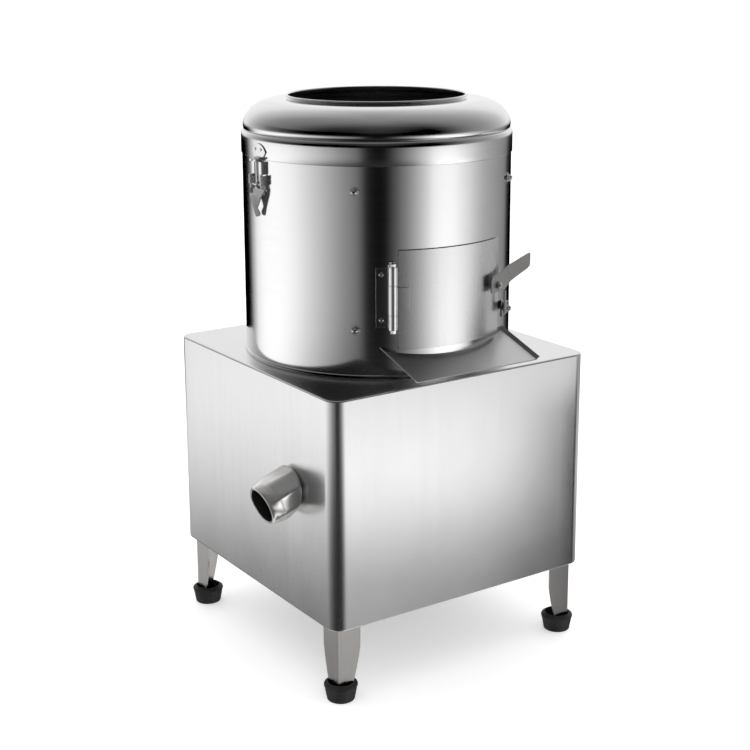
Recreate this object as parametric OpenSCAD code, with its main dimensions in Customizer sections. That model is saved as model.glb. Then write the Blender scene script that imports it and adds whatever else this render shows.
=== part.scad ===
// Floor-standing electric potato peeler: abrasive drum on a square cabinet.
// Origin: on the floor under the drum axis. +Z up, -Y front (discharge door), -X drain side.

/* [Cabinet] */
// Width and depth of the square cabinet
cabinet_w = 480; // [440:5:540]
// Height of the cabinet walls and top plate together
cabinet_h = 355; // [335:5:420]
// Floor to the lower edge of the cabinet
leg_clear_h = 120; // [90:5:160]
// Outside radius of the upright cabinet corners
cabinet_corner_r = 23.5; // [18:0.5:30]
// Thickness of the cabinet sheet
cabinet_sheet_t = 1.5; // [1:0.1:2]
// Thickness of the top plate
top_plate_t = 2; // [1.5:0.5:3]
// Number of air slots in the rear wall
vent_slots = 7; // [3:1:9]
// Length of one air slot
vent_slot_len = 90; // [50:5:120]

/* [Legs and frame] */
// Flange width of the corner posts
post_w = 40; // [34:1:46]
// Flange width of a leg where it enters its foot
leg_tip_w = 28; // [26:1:29]
// Thickness of the angle steel
post_t = 3; // [2:0.5:4]
// Distance of the post's outer faces inside the cabinet face
post_inset = 14; // [13:0.5:18]
// Height of the frame rails
rail_h = 25; // [18:1:35]
// Width of the frame rails' level flange
rail_w = 14; // [10:1:15]
// Radius of a rubber foot at the floor
foot_r = 21.2; // [20.5:0.1:24]
// Radius of a rubber foot at its rim
foot_rim_r = 25.8; // [25:0.1:29]
// Height of a rubber foot
foot_h = 29; // [24:1:36]
// Thickness of the foot's sole under the leg
foot_sole_t = 6; // [4:0.5:10]

/* [Drum] */
// Outside radius of the drum
drum_r = 212.7; // [206:0.1:216]
// Height of the drum wall above the cabinet
drum_h = 345; // [335:1:380]
// Thickness of the drum sheet
drum_t = 1.5; // [1:0.1:2]
// Height of the welded bead round the foot of the drum
foot_bead_h = 6; // [3:0.5:10]
// How far the foot bead stands out
foot_bead_w = 2; // [1:0.1:3]
// Distance of the liner's upper edge below the drum rim
liner_drop = 55; // [52:1:62]
// Thickness of the abrasive liner
liner_t = 3; // [2:0.5:4]
// Height of the lower row of liner screws above the cabinet
liner_low_h = 75; // [65:1:80]
// Distance of the upper row of liner screws below the liner's upper edge
liner_screw_inset = 8; // [7:0.5:30]
// Angle of the first column of liner screws; the one across from it stands before the hinge
liner_screw_a = 47; // [44:1:50]
// Angle between the door's free edge and the screw of its keeper
keeper_gap_a = 12; // [10:0.5:14]
// Across flats of the liner cap nuts
cap_nut_af = 10; // [8:1:10]

/* [Lid] */
// Height of the lid skirt's lower edge above the cabinet
skirt_low_h = 319; // [315:1:325]
// Thickness of the lid sheet
lid_t = 1.2; // [1:0.1:1.5]
// Clearance between the lid skirt and the drum
skirt_gap = 0.4; // [0.3:0.1:0.8]
// Height of the groove between skirt and dome above the drum rim
groove_h = 10; // [9:0.1:14]
// Rise of the dome from its widest ring to its upper ring
dome_rise = 39.4; // [30:0.2:52]
// Level reach of the dome's curve
dome_reach = 60; // [50:1:62]
// Radius of the filling opening
mouth_r = 139; // [120:0.5:140]
// Radius of the rolled wire at the filling opening
mouth_roll_r = 2; // [1.6:0.1:3]
// Height of the hollow curve between the dome and the rolled wire
mouth_cove_h = 2.5; // [2:0.1:4]

/* [Door] */
// Angle of the door's hinge-side edge
door_a0 = 244.2; // [243.8:0.1:246]
// Angle of the door's free edge
door_a1 = 295.5; // [294:0.1:297]
// Height of the door's lower edge above the cabinet
door_low_h = 46; // [44:1:48]
// Height of the door's upper edge above the cabinet
door_high_h = 196; // [190:1:210]
// Thickness of the door sheet
door_t = 1.5; // [1:0.1:1.8]
// Thickness of the rubber seal behind the door
door_seal_t = 1.7; // [1.5:0.1:2.5]
// Overlap of the door over the discharge opening, top and bottom
door_lap_h = 6; // [5:0.5:8]
// Overlap of the door over the discharge opening, at the hinge edge, in degrees
door_lap_a0 = 3; // [2.6:0.1:3.4]
// Overlap at the free edge, in degrees
door_lap_a1 = 5.3; // [5:0.1:5.6]

/* [Door hinge] */
// Angle of the hinge pin on the drum
hinge_a = 241.9; // [241.6:0.1:242.2]
// Distance of the hinge pin from the drum axis
hinge_pin_d = 221; // [220.6:0.1:222]
// Radius of the hinge barrel
hinge_barrel_r = 6.5; // [6:0.1:6.8]
// Radius of the hinge pin
hinge_pin_r = 3; // [2.5:0.1:3.5]
// Lower end of the hinge barrel above the cabinet
hinge_low_h = 78; // [74:1:82]
// Upper end of the hinge barrel above the cabinet
hinge_high_h = 172; // [165:1:180]
// Height of the lower joint between two knuckles
knuckle_low_h = 100; // [96:1:104]
// Height of the upper joint between two knuckles
knuckle_high_h = 145; // [140:1:150]

/* [Door latch] */
// Angle between the latch pivot and the door's free edge
latch_inset_a = 4; // [3.5:0.1:4.5]
// Height of the latch pivot above the cabinet
latch_h = 124.5; // [118:0.5:128]
// Distance of the latch plate's inner face outside the drum
latch_stand = 10; // [9:0.5:12]
// Thickness of the latch plate
latch_t = 2; // [1.5:0.5:2.5]
// Distance from the pivot to the fold of the handle
latch_fold_u = 35.7; // [33:0.1:38]
// Length of the bent handle
latch_handle_len = 34; // [28:1:45]
// Outward bend of the handle
latch_bend_a = 40; // [30:1:50]
// Radius of the latch pivot bolt
latch_bolt_r = 3; // [2.5:0.1:3.5]

/* [Discharge chute] */
// Width of the chute between its side flanges
chute_w = 224; // [210:1:226]
// Distance of the chute's front edge from the drum axis
chute_front_d = 267; // [250:1:300]
// Height of the chute's front edge above the cabinet
chute_front_h = 14.5; // [12:0.5:15]
// Slope of the chute
chute_slope_a = 18; // [16:0.5:18.5]
// Thickness of the chute sheet
chute_t = 1.5; // [1:0.1:2]
// Width of the chute's side flanges
chute_flange_w = 7.5; // [5:0.5:8]

/* [Lid latches] */
// Distance of the lever pivot below the lid skirt
toggle_drop = 30.5; // [29:0.1:32]
// Distance of the lever pivot outside the drum
toggle_stand = 5.6; // [5.4:0.1:6.4]
// Distance between lever pivot and hook pivot
toggle_throw = 7.5; // [6.5:0.1:8]
// Lever length below its pivot
toggle_len = 56.5; // [45:0.5:70]
// Lever width at its shoulders
toggle_w = 40; // [36:1:42]
// Lever width at its neck
toggle_neck_w = 10; // [8:0.5:16]
// Lever width at its tail
toggle_tail_w = 13; // [12:0.5:20]
// Radius of the hook rod and of the pins
toggle_rod_r = 2; // [1.6:0.1:2.2]
// Radius of the keeper's upper arc
keeper_arc_r = 22.5; // [20:0.5:25]

/* [Drain] */
// Sideways position of the drain along the cabinet face
drain_y = -125; // [-128:1:-118]
// Depth of the outlet's centre below the top plate at the cabinet wall
drain_drop = 160.5; // [154:0.5:168]
// Downward tilt of the outlet
drain_tilt = 18.8; // [16:0.2:21]
// Bore radius of the drain pipe
drain_bore_r = 23; // [20:0.5:24]
// Wall of the drain pipe
drain_wall = 3; // [2:0.5:3]
// Distance of the vertical drain pipe from the drum axis
drain_pipe_d = 105; // [100:1:110]
// Centre-line radius of the drain bend
drain_bend_r = 50; // [44:1:56]
// Across flats of the octagonal outlet fitting
outlet_af = 68; // [60:1:74]
// Length of the outlet fitting outside the cabinet
outlet_len = 57; // [50:1:66]
// Radius of the outlet's mouth
outlet_mouth_r = 28.7; // [27:0.1:30]
// Bore radius at the outlet's mouth
outlet_socket_r = 26.5; // [25:0.1:27]
// Depth of the socket at the outlet's mouth
outlet_socket_len = 22; // [16:1:30]

/* [Waste pan] */
// Outside radius of the waste pan
pan_r = 202; // [200:0.5:203]
// Depth of the waste pan below the top plate
pan_depth = 47; // [42:1:55]
// Thickness of the pan sheet
pan_t = 2; // [1.5:0.5:2.5]

/* [Turntable] */
// Radius of the turntable
disc_r = 203; // [195:0.5:204]
// Height of the turntable's underside above the cabinet
disc_low_h = 28; // [24:1:30]
// Thickness of the turntable casting
disc_t = 10; // [8:1:12]
// Thickness of the abrasive layer
grit_t = 4; // [2:0.5:5]
// Number of waves on the turntable
disc_waves = 3; // [2:1:4]
// Height of the waves
wave_h = 9; // [6:1:11]
// Radius of the drive shaft
shaft_r = 12.5; // [11:0.5:14]
// Length of the drive shaft below the driven pulley
shaft_end = 17; // [13:1:25]

/* [Bearings] */
// Outside radius of the ball bearings
bearing_r = 26; // [25:0.5:28]
// Width of the ball bearings
bearing_w = 15; // [14:1:18]
// Length of the bearing housing below its flange
bearing_house_len = 180; // [165:5:185]
// Radius of the bearing housing's body
bearing_house_r = 36; // [34:1:42]
// Radius of the bearing housing's flange
bearing_flange_r = 72; // [70:1:80]
// Radius of the circle of flange bolts
bearing_bolt_d = 58; // [52:1:60]

/* [Belt drive] */
// Radius of the driven pulley
driven_r = 105; // [95:1:110]
// Radius of the motor pulley
driver_r = 30; // [27:1:36]
// Width of both pulleys
pulley_w = 22; // [20:1:26]
// Distance of the pulleys below the bearing housing
pulley_gap = 24; // [18:1:27]
// Width of the belt's back
belt_w = 13; // [10:1:14]
// Depth of the belt
belt_t = 8; // [7:0.5:9]

/* [Motor] */
// Sideways and rearward distance of the motor axis from the shaft
motor_d = 120; // [117:1:124]
// Radius of the motor's stator
motor_r = 62; // [56:1:64]
// Distance of the motor above its pulley
motor_gap = 19; // [15:1:24]
// Height of the motor's stator and end shields
motor_h = 140; // [120:5:145]
// Radius of the motor shaft
motor_shaft_r = 9.5; // [8:0.5:12]
// Number of cooling fins
motor_fins = 24; // [12:2:28]

/* [Switch and inlets] */
// Width of the switch box
switch_w = 62; // [54:1:80]
// Height of the switch box
switch_h = 92; // [84:1:110]
// Depth of the switch box outside the cabinet
switch_d = 22; // [18:1:35]
// Radius of the push buttons
button_r = 11; // [9:0.5:13]
// Travel of the push buttons
button_travel = 3; // [2:0.5:4]
// Radius of the water inlet pipe
inlet_r = 8.5; // [7:0.5:9]
// Bore radius of the water inlet pipe
inlet_bore_r = 6.5; // [5:0.5:6.8]
// Length of the water inlet pipe outside the drum
inlet_len = 34; // [26:1:50]
// Bore radius of the cable gland
gland_bore_r = 4.5; // [3:0.5:5]

/* [Hidden] */

// Fineness of round parts, and of the small ones
round_fn = 96;
small_fn = 32;
// Small overlap that joins two shapes of one piece, and overshoot of a cut
bite = 0.2;
past = 5;
// Clearance between faces of different moving bodies, and of a running pin in its bore
air = 0.3;
run = 0.05;
// Clearance of a screw or pipe in its hole
play = 0.2;

steel = [0.78, 0.78, 0.79];
satin = [0.7, 0.7, 0.71];
dark_steel = [0.36, 0.37, 0.39];
black_rubber = [0.07, 0.07, 0.07];

// Levels
cab_z0 = leg_clear_h;
deck_z = leg_clear_h + cabinet_h;
half_w = cabinet_w / 2;
post_out = half_w - post_inset;
post_in = post_out - post_t;
foot_xy = post_out - leg_tip_w / 2 + 1.5;

// Drum, liner and lid
drum_in_r = drum_r - drum_t;
liner_out_r = drum_in_r - air;
liner_in_r = liner_out_r - liner_t;
liner_top_h = drum_h - liner_drop;
liner_high_h = liner_top_h - liner_screw_inset;
skirt_in_r = drum_r + skirt_gap;
skirt_out_r = skirt_in_r + lid_t;
rim_z = deck_z + drum_h;
gasket_h = 5;
ledge_z = rim_z + gasket_h + air;
groove_z = rim_z + groove_h;
groove_r = skirt_out_r - 5;
dome_r = drum_r - 1.5;
dome_wide_z = groove_z + 6.4;
dome_top_z = dome_wide_z + dome_rise;
dome_mid_r = dome_r - dome_reach;
screw_r = 3;
keeper_screw_a = door_a1 + keeper_gap_a;
liner_screw_angles = [liner_screw_a, keeper_screw_a - 180, liner_screw_a + 180, keeper_screw_a];
liner_screw_heights = [liner_low_h, liner_high_h];

// Door and its seal
door_in_r = drum_r + door_seal_t + air;
door_out_r = door_in_r + door_t;
opening_a0 = door_a0 + door_lap_a0;
opening_a1 = door_a1 - door_lap_a1;
opening_low = deck_z + door_low_h + door_lap_h;
opening_high = deck_z + door_high_h - door_lap_h;
leaf_t = 1.5;
latch_a = door_a1 - latch_inset_a;
latch_in_r = drum_r + latch_stand;
latch_out_r = latch_in_r + latch_t;

// Toggle latches, in their own frame: X outward, Y along the drum, Z up
toggle_z = deck_z + skirt_low_h - toggle_drop;
toggle_r = drum_r + toggle_stand;
hook_pin_z = toggle_z - toggle_throw;
keeper_floor_z = deck_z + skirt_low_h - 2;
keeper_t = 1.6;
hook_bar_z = keeper_floor_z + keeper_t + air + toggle_rod_r;
hook_lip_r = toggle_r + toggle_rod_r + 4.1;
hook_lip_h = 1.5;
cheek_y = 15.5;
cheek_t = 1.5;
ear_t = 1.5;
ear_y = cheek_y + air + ear_t;

// Drive line under the pan
flange_z = deck_z - pan_depth;
flange_t = 12;
house_low_z = flange_z - flange_t - bearing_house_len;
house_neck_r = 31.5;
house_neck_h = 27;
pan_collar_r = 34;
pan_collar_h = 32;
pulley_z = house_low_z - pulley_gap - pulley_w;
belt_mid_z = pulley_z + pulley_w / 2;
belt_gap = 0.3;
bracket_y = motor_d + motor_r + 10;
bridge_x0 = -70;
bridge_x1 = 180;
bearing_bolt_r = 4;
house_step = 5;
spindle_r = 10;
thread_r = 8;
pan_flange_t = 1.5;
outlet_neck_r = drain_bore_r + drain_wall;
elbow_gap = 14;
skirt_z0 = deck_z + skirt_low_h;
keeper_plate_t = 1.5;
switch_y = -110;
switch_drop = 95;
switch_z = deck_z - switch_drop;
wire_hole_r = 9;
button_pitch = 38;
inlet_z = deck_z + (liner_top_h + skirt_low_h) / 2;
gland_x = -150;
gland_h = 60;
gland_z = cab_z0 + gland_h;
gland_thread_r = 9.8;
vent_x = 90;
vent_h = 110;
vent_z = cab_z0 + vent_h;
motor_centre_d = motor_d * sqrt(2);
bridge_z = flange_z - flange_t;
bridge_t = 5;
motor_low_z = pulley_z + pulley_w + motor_gap;
motor_top_z = motor_low_z + motor_h;

function arc(cx, cy, rx, ry, a0, a1, n = 10) =
    [for (i = [0:n]) [cx + rx * cos(a0 + (a1 - a0) * i / n), cy + ry * sin(a0 + (a1 - a0) * i / n)]];

// ---- Shared shapes ----

module rounded_square(w, r) {
    square([w, w - 2 * r], center = true);
    square([w - 2 * r, w], center = true);
    for (sx = [-1, 1], sy = [-1, 1])
        translate([sx * (w / 2 - r), sy * (w / 2 - r)]) circle(r, $fn = 48);
}

module tube(r_out, r_in, h, fn = round_fn) {
    difference() {
        cylinder(r = r_out, h = h, $fn = fn);
        translate([0, 0, -past]) cylinder(r = r_in, h = h + 2 * past, $fn = fn);
    }
}

// Part of a round wall between two angles and two levels
module band(r_in, r_out, a0, a1, z0, z1) {
    translate([0, 0, z0]) rotate([0, 0, a0])
        rotate_extrude(angle = a1 - a0, $fn = round_fn)
            translate([r_in, 0]) square([r_out - r_in, z1 - z0]);
}

// Turns a shape that stands on +Z so that it points outward from the drum axis
module outward(a, d, z) {
    rotate([0, 0, a]) translate([d, 0, z]) rotate([0, 90, 0]) children();
}

module hex(af, h) {
    cylinder(r = af / 2 / cos(30), h = h, $fn = 6);
}

// Plate with an outline in Y and Z, from x0 outward along X
module upright_plate(points, x0, depth) {
    translate([x0, 0, 0]) rotate([90, 0, 90]) linear_extrude(depth) polygon(points);
}

// ---- Cabinet ----

// Outlet frame: origin where the drain's axis meets the cabinet wall, +Z out of the mouth
module drain_frame() {
    translate([-half_w, drain_y, deck_z - drain_drop]) rotate([0, -90 - drain_tilt, 0]) children();
}

module housing_shell() {
    wall_h = cabinet_h - top_plate_t;
    slot_h = 5;
    slot_pitch = 12;
    color(steel) difference() {
        translate([0, 0, cab_z0]) linear_extrude(wall_h)
            rounded_square(cabinet_w, cabinet_corner_r);
        translate([0, 0, cab_z0 + cabinet_sheet_t]) linear_extrude(wall_h)
            rounded_square(cabinet_w - 2 * cabinet_sheet_t, cabinet_corner_r - cabinet_sheet_t);
        translate([0, 0, cab_z0 - past]) linear_extrude(2 * past)
            square(2 * post_out, center = true);
        drain_frame() cylinder(r = outlet_neck_r + 0.4, h = 60, center = true, $fn = 64);
        translate([half_w, switch_y, switch_z]) rotate([0, 90, 0])
            cylinder(r = wire_hole_r, h = 4 * past, center = true, $fn = small_fn);
        translate([gland_x, half_w, gland_z]) rotate([90, 0, 0])
            cylinder(r = gland_thread_r + 0.2, h = 4 * past, center = true, $fn = small_fn);
        for (side = [-1, 1], k = [0:vent_slots - 1])
            translate([side * vent_x - vent_slot_len / 2, half_w - past, vent_z + k * slot_pitch])
                cube([vent_slot_len, 2 * past, slot_h]);
    }
}

module housing_top() {
    color(steel) difference() {
        translate([0, 0, deck_z - top_plate_t]) linear_extrude(top_plate_t)
            rounded_square(cabinet_w, cabinet_corner_r);
        translate([0, 0, deck_z - past]) cylinder(r = pan_r + air, h = 2 * past, $fn = round_fn);
    }
}

// Width of a post's flange at a height: full in the cabinet, tapering down the leg
function leg_width(z) =
    let (top = cab_z0 - leg_clear_h * 0.3)
    z >= top ? post_w
    : post_w - (post_w - leg_tip_w) * pow((top - max(z, foot_h)) / (top - foot_h), 1.25);

module corner_post(right, rear) {
    top_z = deck_z - top_plate_t;
    taper_top = cab_z0 - leg_clear_h * 0.3;
    levels = [foot_sole_t, for (k = [0:4]) foot_h + (taper_top - foot_h) * k / 4, top_z];
    outline = concat([[-1, top_z], [-1, foot_sole_t]], [for (z = levels) [leg_width(z), z]]);
    color(satin) mirror([right ? 1 : 0, 0, 0]) mirror([0, rear ? 1 : 0, 0])
        translate([-post_out, -post_out, 0]) intersection() {
            translate([0, 0, foot_sole_t]) linear_extrude(top_z - foot_sole_t) difference() {
                square(post_w);
                translate([post_t, post_t]) square(post_w);
            }
            translate([0, post_w + past, 0]) rotate([90, 0, 0])
                linear_extrude(post_w + 2 * past) polygon(outline);
            upright_plate(outline, -past, post_w + 2 * past);
        }
}

module rubber_foot(right, rear) {
    rim_w = 2.5;
    color(black_rubber)
        translate([right ? foot_xy : -foot_xy, rear ? foot_xy : -foot_xy, 0]) difference() {
            rotate_extrude($fn = 64) polygon(concat(
                [[0, 0], [foot_r - 1, 0], [foot_r, 1]],
                [[foot_rim_r, foot_h - 6]],
                arc(foot_rim_r - rim_w, foot_h - 5, rim_w, 2.5, 0, 90, 6),
                [[foot_rim_r - rim_w - 0.6, foot_h], [0, foot_h]]));
            translate([0, 0, foot_sole_t])
                cylinder(r = foot_r - 0.6, h = foot_h, $fn = 64);
        }
}

// Square ring of angle steel between the posts, its level flange at the bottom or the top
module frame_ring(z0, level_at_top) {
    level_z = level_at_top ? rail_h - post_t : 0;
    color(dark_steel) translate([0, 0, z0]) {
        linear_extrude(rail_h) difference() {
            square(2 * post_in, center = true);
            square(2 * (post_in - post_t), center = true);
        }
        translate([0, 0, level_z]) linear_extrude(post_t) difference() {
            square(2 * post_in, center = true);
            square(2 * (post_in - rail_w), center = true);
            circle(pan_r + air, $fn = round_fn);
        }
    }
}

module lower_frame() {
    frame_ring(cab_z0, false);
}

module upper_frame() {
    frame_ring(deck_z - top_plate_t - rail_h, true);
}

// Strap across the cabinet that carries the bearing housing and the motor
module bearing_bridge() {
    end_y = post_in - post_t;
    span = bridge_x1 - bridge_x0;
    end_top = deck_z - top_plate_t - post_t;
    color(dark_steel) difference() {
        union() {
            translate([bridge_x0, -end_y, bridge_z - bridge_t]) cube([span, 2 * end_y, bridge_t]);
            for (side = [-1, 1])
                translate([bridge_x0, side * (end_y - bridge_t / 2) - bridge_t / 2, bridge_z - bridge_t])
                    cube([span, bridge_t, end_top - bridge_z + bridge_t]);
        }
        translate([0, 0, bridge_z - 2 * past])
            cylinder(r = bearing_house_r + air, h = 4 * past, $fn = 64);
        bearing_bolt_places() cylinder(r = bearing_bolt_r + 0.4, h = 60, center = true, $fn = small_fn);
        translate([0, 0, flange_z - air]) cylinder(r = pan_r + air, h = 2 * pan_depth, $fn = round_fn);
    }
}

// ---- Drum ----

module liner_screw_places() {
    for (a = liner_screw_angles, h = liner_screw_heights)
        outward(a, 0, deck_z + h) children();
}

// The opening through which peeled potatoes leave, as a cutter
module discharge_cut(extra = 0) {
    band(drum_in_r - 30, drum_r + 30, opening_a0 - extra, opening_a1 + extra,
        opening_low - extra, opening_high + extra);
}

module drum_shell() {
    rim_roll = 3;
    color(satin) difference() {
        union() {
            translate([0, 0, deck_z]) tube(drum_r, drum_in_r, drum_h);
            rotate_extrude($fn = round_fn) polygon(concat(
                [[drum_r - bite, deck_z]],
                arc(drum_r, deck_z, foot_bead_w, foot_bead_h, 0, 90, 5),
                [[drum_r - bite, deck_z + foot_bead_h]]));
            translate([0, 0, rim_z - rim_roll]) tube(drum_in_r + bite, drum_in_r - rim_roll, rim_roll);
        }
        discharge_cut();
        liner_screw_places()
            translate([0, 0, drum_in_r - past]) cylinder(r = screw_r + play, h = 3 * past, $fn = small_fn);
        outward(90, drum_in_r - past, inlet_z) cylinder(r = inlet_r + play, h = 3 * past, $fn = small_fn);
    }
}

module abrasive_liner() {
    liner_z0 = deck_z + pan_flange_t;
    color([0.2, 0.2, 0.21]) difference() {
        translate([0, 0, liner_z0]) tube(liner_out_r, liner_in_r, deck_z + liner_top_h - liner_z0);
        discharge_cut();
        liner_screw_places()
            translate([0, 0, liner_in_r - past]) cylinder(r = screw_r + play, h = 3 * past, $fn = small_fn);
    }
}

module liner_cap_nuts() {
    washer_t = 1.2;
    hex_h = 3.3;
    color(steel) for (a = liner_screw_angles, h = liner_screw_heights) {
        lift = (a == keeper_screw_a && h == liner_low_h) ? keeper_plate_t : 0;
        outward(a, drum_r + 0.1 + lift, deck_z + h) difference() {
            union() {
                cylinder(r = cap_nut_af * 0.75, h = washer_t, $fn = small_fn);
                translate([0, 0, washer_t - bite]) hex(cap_nut_af, hex_h + bite);
                translate([0, 0, washer_t + hex_h - bite]) rotate_extrude($fn = small_fn)
                    polygon(concat([[0, 0]], arc(0, 0, cap_nut_af * 0.44, 3.8, 0, 90, 6)));
            }
            translate([0, 0, -past]) cylinder(r = screw_r + 0.02, h = past + 4.5, $fn = small_fn);
        }
    }
}

module liner_screws() {
    head_t = 1.5;
    color(steel) for (a = liner_screw_angles, h = liner_screw_heights)
        outward(a, liner_in_r - 0.2 - head_t, deck_z + h) {
            cylinder(r = 5.5, h = head_t, $fn = small_fn);
            cylinder(r = screw_r, h = head_t + drum_r + 4 - liner_in_r, $fn = small_fn);
        }
}

// ---- Pan and turntable ----

module bearing_bolt_places() {
    for (k = [0:3])
        rotate([0, 0, 45 + 90 * k]) translate([bearing_bolt_d, 0, flange_z]) children();
}

module waste_pan() {
    bend = 12;
    flange_r = drum_in_r - air;
    inner_r = pan_r - pan_t;
    color(satin) difference() {
        rotate_extrude($fn = round_fn) polygon(concat(
            [[pan_r, deck_z]],
            arc(pan_r - bend, flange_z + bend, bend, bend, 0, -90, 6),
            [[pan_collar_r - pan_t, flange_z], [pan_collar_r - pan_t, flange_z + pan_collar_h],
                [pan_collar_r, flange_z + pan_collar_h], [pan_collar_r, flange_z + pan_t]],
            arc(pan_r - bend, flange_z + bend, bend - pan_t, bend - pan_t, -90, 0, 6),
            [[inner_r, deck_z + pan_flange_t], [flange_r, deck_z + pan_flange_t],
                [flange_r, deck_z]]));
        translate([-drain_pipe_d, drain_y, flange_z - past])
            cylinder(r = drain_bore_r, h = 3 * past, $fn = 64);
        bearing_bolt_places()
            cylinder(r = bearing_bolt_r + 0.3, h = 4 * past, center = true, $fn = small_fn);
    }
}

module turntable_disc() {
    hub_r = 28;
    hub_drop = 36;
    slinger_r = 38;
    slinger_t = 3;
    blade_t = 5;
    blade_r0 = 76;
    blade_r1 = disc_r - 8;
    blade_z0 = flange_z + pan_t + 13;
    disc_z = deck_z + disc_low_h;
    color([0.6, 0.6, 0.61]) difference() {
        union() {
            translate([0, 0, disc_z]) cylinder(r = disc_r, h = disc_t, $fn = round_fn);
            translate([0, 0, disc_z - hub_drop]) cylinder(r = hub_r, h = hub_drop + 1, $fn = 64);
            translate([0, 0, disc_z - 48]) tube(slinger_r + slinger_t, slinger_r, 49, 64);
            for (a = [0, 180]) rotate([0, 0, a]) translate([blade_r0, -blade_t / 2, blade_z0])
                cube([blade_r1 - blade_r0, blade_t, disc_z - blade_z0 + 1]);
        }
        translate([0, 0, disc_z - 60])
            cylinder(r = spindle_r + 0.02, h = 60 + disc_t + past, $fn = 48);
    }
}

module abrasive_pad() {
    pad_z = deck_z + disc_low_h + disc_t;
    pad_r = disc_r - 0.5;
    wave_r = 26;
    color([0.16, 0.16, 0.17]) difference() {
        union() {
            translate([0, 0, pad_z]) cylinder(r = pad_r, h = grit_t, $fn = round_fn);
            intersection() {
                translate([0, 0, pad_z]) cylinder(r = pad_r, h = 2 * wave_r, $fn = round_fn);
                for (k = [0:disc_waves - 1]) rotate([0, 0, 30 + k * 360 / disc_waves])
                    translate([40, 0, pad_z + grit_t + wave_h - wave_r]) rotate([0, 90, 0])
                        cylinder(r = wave_r, h = pad_r, $fn = 64);
            }
        }
        translate([0, 0, pad_z - past]) cylinder(r = 26, h = 10 * past, $fn = 64);
    }
}

module hub_nut() {
    washer_t = 3;
    nut_h = 10;
    dome_h = 8;
    color(steel) translate([0, 0, deck_z + disc_low_h + disc_t]) difference() {
        union() {
            cylinder(r = 22, h = washer_t, $fn = 48);
            translate([0, 0, washer_t - bite]) hex(24, nut_h + bite);
            translate([0, 0, washer_t + nut_h - bite]) rotate_extrude($fn = 48)
                polygon(concat([[0, 0]], arc(0, 0, 11, dome_h, 0, 90, 8)));
        }
        translate([0, 0, -past]) cylinder(r = thread_r + 0.02, h = past + nut_h + washer_t + 2, $fn = 48);
    }
}

module drive_shaft() {
    shoulder_r = 15;
    step_z = deck_z + disc_low_h - 36;
    disc_top = deck_z + disc_low_h + disc_t;
    low_z = pulley_z - shaft_end;
    color(steel) {
        translate([0, 0, low_z]) cylinder(r = shaft_r, h = step_z - low_z, $fn = 64);
        translate([0, 0, step_z - bite]) cylinder(r = spindle_r, h = disc_top - step_z, $fn = 64);
        translate([0, 0, step_z]) cylinder(r = thread_r, h = disc_top - step_z + 13, $fn = 64);
        translate([0, 0, flange_z - 12]) cylinder(r = shoulder_r, h = 12 + house_step - air, $fn = 64);
    }
}

module bearing_housing() {
    mid_bore_r = 20;
    color(dark_steel) difference() {
        union() {
            translate([0, 0, bridge_z]) cylinder(r = bearing_flange_r, h = flange_t, $fn = round_fn);
            translate([0, 0, house_low_z])
                cylinder(r = bearing_house_r, h = bridge_z - house_low_z + 1, $fn = 64);
            translate([0, 0, flange_z - 1]) cylinder(r = house_neck_r, h = house_neck_h + 1, $fn = 64);
        }
        translate([0, 0, house_low_z - past])
            cylinder(r = mid_bore_r, h = 2 * bearing_house_len, $fn = 64);
        translate([0, 0, flange_z + house_step])
            cylinder(r = bearing_r, h = house_neck_h + past, $fn = 64);
        translate([0, 0, house_low_z - past]) cylinder(r = bearing_r, h = past + bearing_w, $fn = 64);
        bearing_bolt_places()
            cylinder(r = bearing_bolt_r + play, h = 60, center = true, $fn = small_fn);
    }
}

module ball_bearing(z0) {
    groove_r0 = shaft_r + 4;
    groove_r1 = bearing_r - 4;
    translate([0, 0, z0]) difference() {
        tube(bearing_r - run, shaft_r + run, bearing_w, 64);
        for (z = [-1, bearing_w - 1]) translate([0, 0, z]) tube(groove_r1, groove_r0, 2, 64);
    }
}

module shaft_bearings() {
    color(steel) {
        ball_bearing(flange_z + house_step);
        ball_bearing(house_low_z);
    }
}

module shaft_seal() {
    seal_z = flange_z + house_step + bearing_w;
    color(black_rubber) translate([0, 0, seal_z])
        tube(bearing_r - run, shaft_r + run, house_neck_h - house_step - bearing_w, 64);
}

module bearing_bolts() {
    head_h = 5;
    low = bridge_z - bridge_t;
    color(steel) bearing_bolt_places() {
        translate([0, 0, pan_t + air]) hex(13, head_h);
        translate([0, 0, low - 10 - flange_z])
            cylinder(r = bearing_bolt_r, h = flange_z - low + 10 + pan_t + 1, $fn = small_fn);
        translate([0, 0, low - flange_z - air - 6.5]) hex(13, 6.5);
    }
}

// ---- Belt drive and motor ----

// V section: half width at the back and at the inside, radii measured from the belt's inside
belt_half_in = belt_w / 2 - belt_t * 0.3;

module belt_section(r, slim = 0) {
    translate([r, belt_mid_z]) polygon([
        [slim, slim - belt_half_in], [slim, belt_half_in - slim],
        [belt_t - slim, belt_w / 2 - slim], [belt_t - slim, slim - belt_w / 2]]);
}

module v_pulley(r, hub_r, bore_r) {
    back_r = r - 1;
    in_r = back_r - belt_t;
    groove_depth = 3;
    half_out = belt_w / 2 + 0.3 + belt_gap;
    half_in = belt_half_in - groove_depth * 0.3 + belt_gap;
    translate([0, 0, belt_mid_z]) rotate_extrude($fn = round_fn) polygon([
        [bore_r, -pulley_w / 2], [r, -pulley_w / 2], [r, -half_out], [in_r - groove_depth, -half_in],
        [in_r - groove_depth, half_in], [r, half_out], [r, pulley_w / 2], [bore_r, pulley_w / 2]]);
    translate([0, 0, pulley_z]) tube(hub_r, bore_r, pulley_w + 8, 64);
}

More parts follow.
